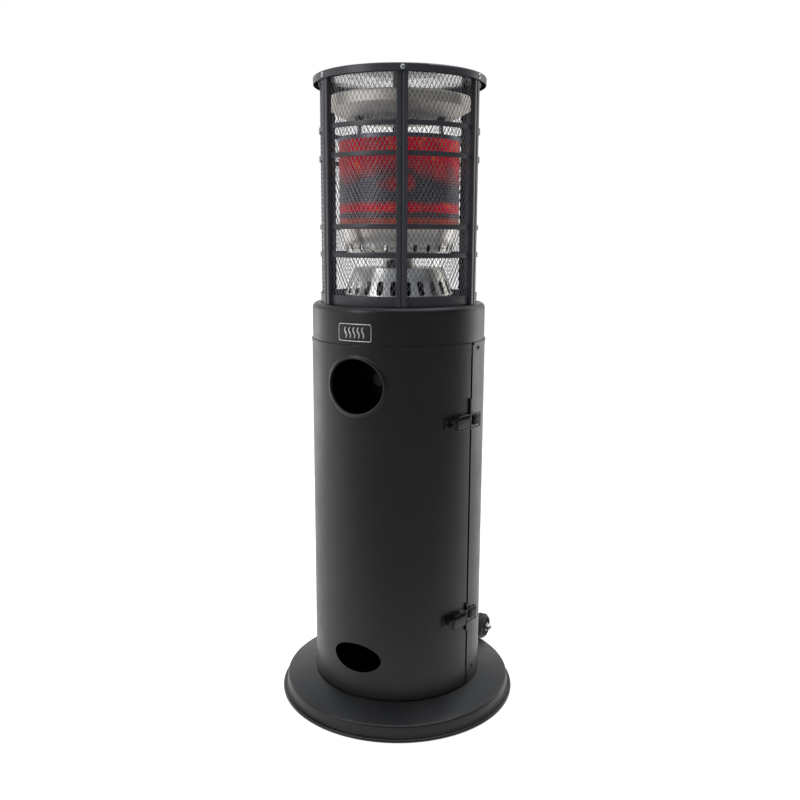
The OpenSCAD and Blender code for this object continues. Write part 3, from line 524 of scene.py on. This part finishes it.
def bars(node):
    """Six rounded bars from upright to upright, each with a flattened end weld."""
    lo, hi = low(node).z, high(node).z
    thick = 1.6 * MM
    outline = rounded(rectangle(HOOP_R - thick, lo, HOOP_R, hi), 0.5 * MM, 3)
    reach = math.degrees(math.asin((11 * MM + 0.3 * MM) / HOOP_R))
    b = Build()
    for angle in UPRIGHT_ANGLES:
        b.turned(outline, angle + reach, angle + 60 - reach, 240)
        for end in (angle + reach, angle + 60 - reach):
            for side in (-1, 1):
                at = on_wall(end, HOOP_R - thick / 2, (lo + hi) / 2 + side * (hi - lo) * 0.28)
                ball = [(math.sin(t) * 1.3 * MM, math.cos(t) * 1.3 * MM) for t in
                        [math.pi * k / 6 for k in range(7)]]
                b.turned([(0, 1.3 * MM)] + ball[1:-1] + [(0, -1.3 * MM)], steps=8, place=at)
    b.piece(node + "_bars", "root", coats["guard_coat"], [node], smooth=30)


def expanded_metal():
    """Diamond mesh of bent strands; the strands join in pairs at flat bonds."""
    radius = HOOP_R - 3.3 * MM
    columns, rows = 108, 48
    strand_w, strand_t = 1.0 * MM, 0.4 * MM
    bond = 0.9 * MM
    stagger, tilt = 0.25 * MM, 0.15 * MM
    step = math.pi / columns
    half_row = (MESH_Z[1] - MESH_Z[0]) / (rows + 0.5)
    swing = (half_row - strand_w) / 2
    rise = Vector((step * radius - 2 * bond, 2 * swing)).normalized()
    # mitre between a level bond and a sloping strand
    lean = rise.y / (1 + rise.x) * strand_w / 2
    verts, faces = [], []
    for row in range(rows + 1):
        start = len(verts)
        middle = MESH_Z[0] + half_row * (row + 0.25)
        for column in range(2 * columns):
            peak = 1 if (row + column) % 2 == 0 else -1
            for side in (-1, 1):
                for edge in (-1, 1):
                    across = side * bond + peak * side * edge * lean
                    a = column * step + across / radius
                    z = middle + peak * swing + edge * strand_w / 2
                    r = radius + peak * stagger - edge * tilt
                    for face in (edge, -edge):
                        q = r + face * strand_t / 2
                        verts.append((q * math.sin(a), -q * math.cos(a), z))
        size = 4 * columns
        for i in range(size):
            p, q = start + 4 * i, start + 4 * ((i + 1) % size)
            for j in range(4):
                k = (j + 1) % 4
                faces.append((p + j, p + k, q + k, q + j))
    b = Build()
    b.add(verts, faces)
    b.piece("guard_expanded_metal", "root", lit_guard_mesh_coat, ["guard_mesh"], smooth=50)


def lid_underside():
    """Bright sheet under the lid."""
    under = TOTAL_H - 1.6 * MM
    b = Build()
    b.turned(rectangle(0, under - 0.5 * MM, LID_R - 14 * MM, under - 0.1 * MM), steps=120)
    b.piece("lid_bright_lining", "root", lid_lining, smooth=40)


def hems():
    """Rolled hems along the top of the door and of the rear shell."""
    r = BARREL_R
    for name, body, node, a0, a1 in (("door_top_hem", "door", "door_shell", -80.8, 80.8),
                                     ("rear_shell_top_hem", "root", "rear_shell", 84.0, 276.0)):
        top = min(high(node).z, high("door_shell").z)
        hem = rectangle(r - 0.3 * MM, top - 6.5 * MM, r + 1.1 * MM, top - 0.2 * MM)
        b = Build()
        b.turned(rounded(hem, [0, 1 * MM, 1 * MM, 0], 5), a0, a1, 240)
        b.piece(name, body, coats["black_coat"], smooth=40)


# ---------------------------------------------------------------- burner
def perforated_screen():
    """Steel screen with staggered six-sided holes, and a plain band at foot and head."""
    thick = 0.9 * MM
    across = 6 * MM
    hole = 1.75 * MM
    band = 3.2 * MM
    around = round(2 * math.pi * SCREEN_R / across)
    step = 2 * math.pi / around
    pitch = step * SCREEN_R
    row_h = pitch * math.sqrt(3) / 2
    corner = pitch / math.sqrt(3)
    rows = int((SCREEN_Z[1] - SCREEN_Z[0] - 2 * band) / row_h)
    first = (SCREEN_Z[0] + SCREEN_Z[1] - (rows - 1) * row_h) / 2
    turns = [math.radians(60 * k + 30) for k in range(6)]
    bm = bmesh.new()
    for row in range(rows):
        z = first + row * row_h
        for column in range(around):
            a = (column + (row % 2) / 2) * step
            rings = []
            for size in (corner, hole):
                ring = []
                for t in turns:
                    at = a + size * math.cos(t) / SCREEN_R
                    ring.append(bm.verts.new((SCREEN_R * math.sin(at), -SCREEN_R * math.cos(at),
                                              z + size * math.sin(t))))
                rings.append(ring)
            for k in range(6):
                n = (k + 1) % 6
                bm.faces.new((rings[0][k], rings[0][n], rings[1][n], rings[1][k]))
    bmesh.ops.remove_doubles(bm, verts=bm.verts, dist=1e-5)
    bmesh.ops.recalc_face_normals(bm, faces=bm.faces)
    if sum(f.normal.dot(f.calc_center_median() * Vector((1, 1, 0))) for f in bm.faces) < 0:
        bmesh.ops.reverse_faces(bm, faces=bm.faces)
    bmesh.ops.solidify(bm, geom=bm.faces, thickness=thick)
    b = Build()
    bm.verts.index_update()
    b.add([v.co.copy() for v in bm.verts], [[v.index for v in f.verts] for f in bm.faces])
    bm.free()
    edge = row_h * (rows / 2) + 0.1 * corner
    middle = (SCREEN_Z[0] + SCREEN_Z[1]) / 2
    for lo, hi in ((SCREEN_Z[0], middle - edge), (middle + edge, SCREEN_Z[1])):
        outline = rectangle(SCREEN_R - thick - 0.1 * MM, lo, SCREEN_R, hi)
        b.turned(rounded(outline, 0.2 * MM, 2), steps=180)
    b.piece("emitter_perforated_screen", "root", coats["hot_screen"],
            ["emitter_screen"], smooth=40)
    # dark sheet inside the screen: painted shade seen through the holes
    core = Build()
    wall = rectangle(SCREEN_R - 6 * MM, SCREEN_Z[0] + 1 * MM, SCREEN_R - 5 * MM, SCREEN_Z[1] - 1 * MM)
    core.turned(wall, steps=96)
    core.piece("emitter_painted_shade_layer", "root", painted_shade_black, smooth=40)


# ---------------------------------------------------------------- small parts
def screw_head(b, place, radius=4.4 * MM, rise=2.5 * MM, arm=2.6 * MM, slot=0.8 * MM):
    """Domed head with a cross recess, over a thin washer; place has Z outwards."""
    dome = [(0, -0.2 * MM)]
    dome += [(radius, -0.2 * MM), (radius, 0.5 * MM)]
    steps = 6
    recess = 0.45 * radius
    for k in range(1, steps + 1):
        r = radius + (recess - radius) * k / steps
        dome.append((r, 0.5 * MM + (rise - 0.5 * MM) * math.sqrt(max(0, 1 - (r / radius) ** 2))))
    floor = rise - 1.3 * MM
    dome += [(recess * 0.92, floor), (0, floor)]
    b.turned(dome, steps=24, place=place)
    for quarter in range(4):
        turn = place @ Matrix.Rotation(math.radians(90 * quarter + 45), 4, "Z")
        wedge = [(slot, slot), (arm * 0.8, slot), (arm * 0.75, arm * 0.45), (arm * 0.45, arm * 0.75),
                 (slot, arm * 0.8)]
        top = dome[-3][1] - 0.05 * MM
        b.extruded(wedge, floor - 0.1 * MM, top, turn)
    b.turned(rectangle(0.5 * radius, -0.3 * MM, 1.25 * radius, 0.15 * MM), steps=24, place=place)


def screws():
    """All the visible screws: lid, guard feet, rear shell and wheel saddle."""
    b = Build()
    lid_z = TOTAL_H - 8 * MM
    for angle in UPRIGHT_ANGLES:
        screw_head(b, facing(on_wall(angle, LID_R + 0.2 * MM, lid_z)), 4.2 * MM, 2.1 * MM)
        foot = on_wall(angle, UPRIGHT_R - 26 * MM, UPRIGHT_Z[0] + 1.8 * MM)
        screw_head(b, foot, 4.2 * MM, 2.3 * MM)
    b.piece("cross_head_screws", "root", coats["zinc_plate"], ["button_screws"], smooth=30)
    b = Build()
    for angle, z in ((91, 83), (269, 83), (91, 814), (180, 814), (269, 814)):
        screw_head(b, facing(on_wall(angle, BARREL_R + 0.2 * MM, z * MM)), 4.2 * MM, 2.3 * MM)
    for angle, z in ((166, 62), (194, 62), (166, 84), (194, 84)):
        screw_head(b, facing(on_wall(angle, BARREL_R + 3.4 * MM, z * MM)), 4.2 * MM, 2.3 * MM)
    b.piece("black_screws", "root", coats["black_coat"], smooth=30)


def badge():
    """Plain plate with a raised border and three rising heat waves."""
    middle = (low("badge").z + high("badge").z) / 2
    half_w, half_h = 39.4 * MM, 18.6 * MM
    radius = COLLAR_R

    plate = rounded(rectangle(-half_w, -half_h, half_w, half_h), 5 * MM, 6)
    ground = Build()
    columns = 24
    rings = []
    for k in range(columns + 1):
        x = -half_w + 2 * half_w * k / columns
        inset = max(0, abs(x) - (half_w - 5 * MM))
        h = half_h - 5 * MM + math.sqrt(max(1e-9, (5 * MM) ** 2 - inset ** 2))
        a = x / radius
        ring = []
        for r, z in rectangle(radius + 0.1 * MM, -h, radius + 1.3 * MM, h):
            ring.append((r * math.sin(a), -r * math.cos(a), middle + z))
        rings.append(ring)
    ground.loops(rings)
    ground.piece("badge_ground_plate", "root", badge_ground, ["badge"], smooth=30)

    bright = Build()
    bead_r = radius + 1.35 * MM

    def on_plate(points):
        """Places on the plate's face for points given as (arc, height)."""
        return [(bead_r * math.sin(x / radius), -bead_r * math.cos(x / radius), middle + z)
                for x, z in points]

    def strip(points, width):
        """Raised bead that follows points given as (arc, height)."""
        path = on_plate(points)
        bright.tube(path, width / 2, 8, closed=points[0] != points[-1])

    fine = []
    for i, p in enumerate(plate):
        q = plate[(i + 1) % len(plate)]
        parts = max(1, math.ceil((Vector(q) - Vector(p)).length / (2.5 * MM)))
        fine += [(p[0] + (q[0] - p[0]) * k / parts, p[1] + (q[1] - p[1]) * k / parts) for k in range(parts)]
    strip([(0.96 * x, 0.93 * z) for x, z in fine], 1.5 * MM)
    for x in (-20, -10, 0, 10, 20):
        wave = []
        for k in range(13):
            t = k / 12
            wave.append(((x + 2.2 * math.sin(2 * math.pi * t)) * MM, (-11 + 22 * t) * MM))
        bright.tube(on_plate(wave), [0.8 * MM + 1.0 * MM * math.sin(math.pi * k / 12) for k in range(13)], 8)
    bright.piece("badge_border_and_waves", "root", coats["badge_plate"], smooth=50)


def control_trim():
    """Pressed ring with a rolled inner edge round the control hole."""
    b = Build()
    count = 96
    corners = [(0, -2.2), (0, 2.6), (3.2, 3.3), (7.6, 1.2), (8.6, 0.2), (8.6, 0.15), (1.6, 0.15), (1.6, -2.2)]
    section = rounded(corners, [0.6, 1.8, 2.2, 1.2, 0.1, 0, 0.8, 0.6], 4)
    rings = []
    for i in range(count):
        t = 2 * math.pi * i / count
        ring = []
        for u, v in section:
            step = 0.4 * MM + u * MM
            x, z = (CONTROL_HALF_W + step) * math.cos(t), (CONTROL_R + step) * math.sin(t)
            wall = math.sqrt(BARREL_R ** 2 - x * x)
            out = wall + v * MM
            ring.append((x * out / wall, -out, CONTROL_Z + z))
        rings.append(ring)
    b.loops(rings, close_path=True)
    b.piece("control_trim_ring", "door", coats["black_coat"], ["control_trim"], smooth=50)


def latch(tag):
    """Lever and bail of one latch, in their own wall frame."""
    z = LATCH_HEIGHTS[tag]
    place = on_wall(LATCH_ANGLE, BARREL_R, z)
    t = 1.5
    top, bottom = 16.5, 7.0
    cheek_z, arm_z = 11, 15

    def scaled(outline):
        return [(x * MM, y * MM) for x, y in outline]

    lever = Build()
    cheek = [(-39.5, top), (-45.5, bottom + 3), (-36, bottom), (3, bottom), (4.6, bottom + 3),
             (4.6, top - 3), (3, top)]
    cheek = rounded(cheek, [1, 3, 4, 2, 1.5, 1.5, 2], 4)
    for side in (-1, 1):
        mid = side * (cheek_z - t / 2)
        lever.extruded(scaled(cheek), (mid - t / 2) * MM, (mid + t / 2) * MM, place)
    lip = [(-4, top - t), (-39.5, top - t), (-46.5, bottom + 1.8), (-52, bottom + 3), (-52, bottom + 4.5),
           (-48, bottom + 4), (-41, top), (-4, top)]
    lip = rounded(lip, [0.3, 2, 2, 0.7, 0.7, 3, 3, 0.3], 5)
    lever.extruded(scaled(lip), -cheek_z * MM, cheek_z * MM, place)
    for side in (-1, 1):
        z0, z1 = sorted((side * cheek_z * MM, side * (cheek_z + 1.2) * MM))
        washer = [(2.1 * MM, z0), (3.4 * MM, z0), (3.4 * MM, z1), (2.1 * MM, z1)]
        pivot = Matrix.Translation((LEVER_PIVOT[0], LEVER_PIVOT[1] * MM, 0))
        lever.turned(washer, steps=20, place=place @ pivot)
    body = f"{tag}_lever"
    lever.piece(f"{tag}_lever_pressed", body, coats["black_coat"], [f"lever_{tag}"],
                bevel=0.28 * MM, smooth=35)

    bail = Build()
    corners = [(*BAIL_PIVOT, cheek_z - 2.6), (*BAIL_PIVOT, arm_z), (*HOOK, arm_z), (*HOOK, -arm_z),
               (*BAIL_PIVOT, -arm_z), (*BAIL_PIVOT, -cheek_z + 2.6)]
    path = rounded_path([Vector(c) * MM for c in corners], 3.6 * MM, 6)
    bail.tube(path, 1.48 * MM, 14, place=place)
    bail.piece(f"{tag}_bail_wire", f"{tag}_bail", coats["black_coat"],
               [f"bail_{tag}"], smooth=60)


def latch_bases():
    b = Build()
    for tag in ("upper", "lower"):
        z = LATCH_HEIGHTS[tag]
        flat = rectangle(BARREL_R + 0.15 * MM, z - 10 * MM, BARREL_R + 1.8 * MM, z + 10 * MM)
        plate = rounded(flat, 0.5 * MM, 3)
        b.turned(plate, LATCH_ANGLE - 17.1, LATCH_ANGLE + 3.6, 360)
        place = on_wall(LATCH_ANGLE, BARREL_R, z)
        ear = [(-6, 1), (3, 1), (3, 12.5), (1.5, 14.3), (-1.5, 14.3), (-6, 9.5)]
        ear = rounded(ear, [0, 0, 2, 1.5, 1.5, 3], 4)
        for side in (-1, 1):
            b.extruded([(x * MM, y * MM) for x, y in ear], (side * 8 - 1) * MM, (side * 8 + 1) * MM, place)
        pin = place @ Matrix.Translation((0, 11.5 * MM, 0))
        half = 12.6 * MM
        b.turned([(0, -half), (1.6 * MM, -half), (2 * MM, -half + 0.4 * MM), (2 * MM, half - 0.4 * MM),
                  (1.6 * MM, half), (0, half)], steps=20, place=pin)
        for step in (-15.6, -12.1):
            for side in (-1, 1):
                at = facing(on_wall(LATCH_ANGLE + step, BARREL_R + 1.75 * MM, z + side * 5 * MM))
                rivet_head(b, at, 2.9 * MM)
    b.piece("latch_base_plates", "door", coats["black_coat"], ["latch_bases"],
            bevel=0.2 * MM, smooth=40)


def rivet_head(b, place, radius=4 * MM):
    dome = [(0, -0.2 * MM), (radius, -0.2 * MM)]
    turns = [math.pi / 2 * k / 6 for k in range(1, 6)]
    dome += [(radius * math.cos(t), 0.42 * radius * math.sin(t)) for t in turns]
    b.turned(dome + [(0, 0.42 * radius)], steps=24, place=place)


def latch_catches():
    b = Build()
    for tag in ("upper", "lower"):
        z = LATCH_HEIGHTS[tag]
        flat = rectangle(BARREL_R + 0.15 * MM, z - 10 * MM, BARREL_R + 1.8 * MM, z + 10 * MM)
        plate = rounded(flat, 0.5 * MM, 3)
        b.turned(plate, 83.6, 93.5, 360)
        place = on_wall(LATCH_ANGLE, BARREL_R, z)
        far = HOOK[0] - 1.5 - 0.35
        block = rounded([(26, -1.4), (26, 3.2), (30, 6.2), (far, 5.8), (far, -5.4)], [0, 2, 2, 1.2, 0], 4)
        b.extruded([(x * MM, y * MM) for x, y in block], -9.8 * MM, 9.8 * MM, place)
        for side in (-1, 1):
            groove = rounded(rectangle(33, 5.4, 43, 6.5), 0.4, 3)
            outline = [(x * MM, y * MM) for x, y in groove]
            b.extruded(outline, (side * 5 - 1.5) * MM, (side * 5 + 1.5) * MM, place)
    b.piece("latch_catch_blocks", "root", coats["black_coat"], ["latch_catches"],
            bevel=0.25 * MM, smooth=40)


def wheel(side):
    """Moulded wheel: rounded tread with grooves, five-web face, hub."""
    node = "wheel_right" if side > 0 else "wheel_left"
    lo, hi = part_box(node)
    middle = (lo + hi) / 2
    radius = (hi.z - lo.z) / 2
    width = hi.x - lo.x
    inner, outer = (lo.x, hi.x) if side > 0 else (hi.x, lo.x)
    out = Vector((side, 0, 0))
    up = Vector((0, 0, 1))
    place = Matrix((out.cross(up) * -1 if side < 0 else up.cross(out) * -1, up, out)).transposed().to_4x4()
    place.translation = Vector((inner, middle.y, middle.z))
    w = width
    rim = radius - 9 * MM
    profile = [
        (5.06 * MM, 0), (12 * MM, 0), (12 * MM, 3 * MM), (rim, 3 * MM), (rim, 0), (radius - 5 * MM, 0),
        (radius, 5 * MM), (radius, w / 2 - 1.2 * MM), (radius - 1.3 * MM, w / 2 - 0.8 * MM),
        (radius - 1.3 * MM, w / 2 + 0.8 * MM), (radius, w / 2 + 1.2 * MM), (radius, w - 7 * MM),
        (radius - 6 * MM, w), (rim, w), (rim - 1 * MM, w - 5 * MM), (12.5 * MM, w - 5 * MM), (11.5 * MM, w),
        (5.06 * MM, w),
    ]
    bends = [0.3, 1, 1, 1, 1, 2, 4, 0.4, 0.3, 0.3, 0.4, 5, 5, 1.2, 1, 1, 1, 0.4]
    b = Build()
    b.turned(rounded(profile, [v * MM for v in bends], 5), steps=96, place=place)
    for spoke in range(5):
        turn = place @ Matrix.Rotation(math.radians(72 * spoke), 4, "Z")
        web = rounded(rectangle(11 * MM, -1.6 * MM, rim + 0.5 * MM, 1.6 * MM), 0.4 * MM, 2)
        b.extruded(web, w - 5.2 * MM, w - 1.6 * MM, turn)
    body = "right_wheel" if side > 0 else "left_wheel"
    b.piece(body + "_moulded", body, coats["tyre_rubber"], [node], smooth=40)


def knob():
    """Grip knob with flutes, skirt, pointer line and spindle."""
    y = low("control_knob").y
    place = Matrix(((1, 0, 0, 0), (0, 0, -1, 0), (0, 1, 0, CONTROL_Z), (0, 0, 0, 1)))
    back = -69 * MM
    depth = back - y
    b = Build()
    count = 120
    rings = []
    for share, size in ((0, 0.0), (0, 21), (0.14, 21), (0.18, 20.4), (0.22, 19.4), (0.85, 17.7),
                        (0.94, 16.8), (0.985, 14.4), (1, 11), (1, 0.0)):
        ring = []
        for i in range(count):
            t = 2 * math.pi * i / count
            flute = 1.8 * max(0, math.cos(12 * t)) ** 2 if 0.2 < share < 0.97 else 0
            r = max(size - flute, 0) * MM
            ring.append((r * math.cos(t), r * math.sin(t), -back + depth * share))
        rings.append(ring)
    b.loops(rings, place=place)
    b.turned([(0, 43 * MM), (4 * MM, 43 * MM), (4 * MM, 70 * MM), (0, 70 * MM)], steps=32, place=place)
    b.piece("control_knob_fluted", "knob", coats["black_plastic"],
            ["control_knob"], smooth=40)
    mark = Build()
    line = rounded(rectangle(-1.1 * MM, 3 * MM, 1.1 * MM, 13 * MM), 0.5 * MM, 3)
    mark.extruded(line, -back + depth - 1.2 * MM, -back + depth - 0.02 * MM, place)
    mark.piece("control_knob_pointer", "knob", coats["button_plastic"], smooth=40)


# ---------------------------------------------------------------- studio
def soft_light(name, at, aim, size, power, colour=(1, 1, 1)):
    data = bpy.data.lights.new(name, "AREA")
    data.shape = "RECTANGLE"
    data.size, data.size_y = size
    data.energy = power
    data.color = colour
    light = bpy.data.objects.new(name, data)
    scene.collection.objects.link(light)
    light.location = at
    light.rotation_euler = (Vector(aim) - Vector(at)).to_track_quat("-Z", "Y").to_euler()


def studio():
    """Pale floor, soft boxes and a white surround that is dim towards the front."""
    ring = 96
    floor_r = 14.0
    turns = [2 * math.pi * i / ring for i in range(ring)]
    mesh = bpy.data.meshes.new("floor")
    corners = [(floor_r * math.cos(t), floor_r * math.sin(t), -0.0005) for t in turns]
    mesh.from_pydata(corners, [], [list(range(ring))])
    floor = bpy.data.objects.new("floor", mesh)
    scene.collection.objects.link(floor)
    c = Coat("pale_floor")
    c.set(Base_Color=(0.60, 0.60, 0.60, 1), Roughness=0.65,
          Emission_Color=(1, 1, 1, 1), Emission_Strength=0.80)
    # other rays meet a floor that is dim in front of the heater and bright beside and behind it
    ahead = c.node("ShaderNodeVectorMath", operation="DOT_PRODUCT")
    c.link(c.place, ahead.inputs[0])
    ahead.inputs[1].default_value = polar(40, 1, 0)
    share = c.ramp(c.share(ahead.outputs["Value"], -0.5, 0.9), [(0.0, 1.0), (0.35, 0.95), (1.0, 0.36)])
    dim = c.node("ShaderNodeEmission")
    c.link(share, dim.inputs["Color"])
    dim.inputs["Strength"].default_value = 1.15
    chosen = c.node("ShaderNodeMixShader")
    c.link(c.node("ShaderNodeLightPath").outputs["Is Camera Ray"], chosen.inputs["Fac"])
    c.link(dim.outputs[0], chosen.inputs[1])
    c.link(c.shader.outputs[0], chosen.inputs[2])
    c.link(chosen.outputs[0], c.tree.nodes["Material Output"].inputs["Surface"])
    mesh.materials.append(c.material)

    world = bpy.data.worlds.new("studio")
    scene.world = world
    world.use_nodes = True
    tree = world.node_tree
    tree.nodes.clear()
    out = tree.nodes.new("ShaderNodeOutputWorld")
    seen = tree.nodes.new("ShaderNodeBackground")
    seen.inputs["Color"].default_value = (1, 1, 1, 1)
    seen.inputs["Strength"].default_value = 1.0
    lit = tree.nodes.new("ShaderNodeBackground")
    lit.inputs["Strength"].default_value = 1.0
    where = tree.nodes.new("ShaderNodeTexCoord")
    towards = tree.nodes.new("ShaderNodeVectorMath")
    towards.operation = "DOT_PRODUCT"
    tree.links.new(where.outputs["Generated"], towards.inputs[0])
    towards.inputs[1].default_value = Vector(polar(58, 1, 0.0)).normalized()
    band = tree.nodes.new("ShaderNodeValToRGB")
    spread = tree.nodes.new("ShaderNodeMapRange")
    spread.inputs["From Min"].default_value = -1
    spread.inputs["From Max"].default_value = 1
    tree.links.new(towards.outputs["Value"], spread.inputs["Value"])
    tree.links.new(spread.outputs["Result"], band.inputs["Fac"])
    stops = [(0.0, 1.0), (0.36, 0.50), (0.62, 0.16), (1.0, 0.08)]
    while len(band.color_ramp.elements) < len(stops):
        band.color_ramp.elements.new(0.5)
    for element, (at, value) in zip(band.color_ramp.elements, stops):
        element.position = at
        element.color = (value, value, value, 1)
    split = tree.nodes.new("ShaderNodeSeparateXYZ")
    tree.links.new(where.outputs["Generated"], split.inputs["Vector"])
    above = tree.nodes.new("ShaderNodeMapRange")
    above.interpolation_type = "SMOOTHSTEP"
    above.inputs["From Min"].default_value = 0.25
    above.inputs["From Max"].default_value = 0.95
    tree.links.new(split.outputs["Z"], above.inputs["Value"])
    sky = tree.nodes.new("ShaderNodeMix")
    sky.data_type = "RGBA"
    tree.links.new(above.outputs["Result"], sky.inputs[0])
    tree.links.new(band.outputs["Color"], sky.inputs[6])
    sky.inputs[7].default_value = (0.60, 0.66, 0.74, 1)
    tree.links.new(sky.outputs[2], lit.inputs["Color"])
    path = tree.nodes.new("ShaderNodeLightPath")
    choose = tree.nodes.new("ShaderNodeMixShader")
    tree.links.new(path.outputs["Is Camera Ray"], choose.inputs["Fac"])
    tree.links.new(lit.outputs[0], choose.inputs[1])
    tree.links.new(seen.outputs[0], choose.inputs[2])
    tree.links.new(choose.outputs[0], out.inputs["Surface"])

    aim = (0, 0, 0.75)
    soft_light("key_left", polar(-26, 2.3, 1.8), aim, (0.6, 1.6), 14)
    soft_light("top_soft", (0.2, 0.3, 3.0), (0, 0, 0.6), (2.2, 2.2), 34)
    soft_light("rim_right", polar(150, 2.2, 1.1), aim, (0.8, 2.0), 8, (1.0, 1.0, 0.96))
    soft_light("rim_left", polar(-100, 2.2, 0.45), (0, 0, 0.45), (0.8, 0.9), 2.5)


def photo_camera():
    """Camera at 28.3 degrees from the front, a little above the middle, tilted down."""
    turn, distance, height, tilt, roll = 28.3, 1.891, 1.043, 10.84, 0.245
    data = bpy.data.cameras.new("camera")
    data.sensor_width = 36
    data.lens = 38.38
    data.shift_x, data.shift_y = 0.0011, 0.0009
    camera = bpy.data.objects.new("camera", data)
    scene.collection.objects.link(camera)
    camera.location = polar(turn, distance, height)
    camera.rotation_euler = (math.radians(90 - tilt), math.radians(-roll), math.radians(turn))
    scene.camera = camera


photo_camera()
studio()
base_plate()
for index in range(6):
    upright(index)
for node in ("hoop_1", "hoop_2", "hoop_3", "hoop_4", "bottom_band", "top_band"):
    bars(node)
expanded_metal()
lid_underside()
hems()
perforated_screen()
screws()
badge()
control_trim()
for tag in ("upper", "lower"):
    latch(tag)
latch_bases()
latch_catches()
for side in (-1, 1):
    wheel(side)
knob()

scene.view_settings.view_transform = "Standard"
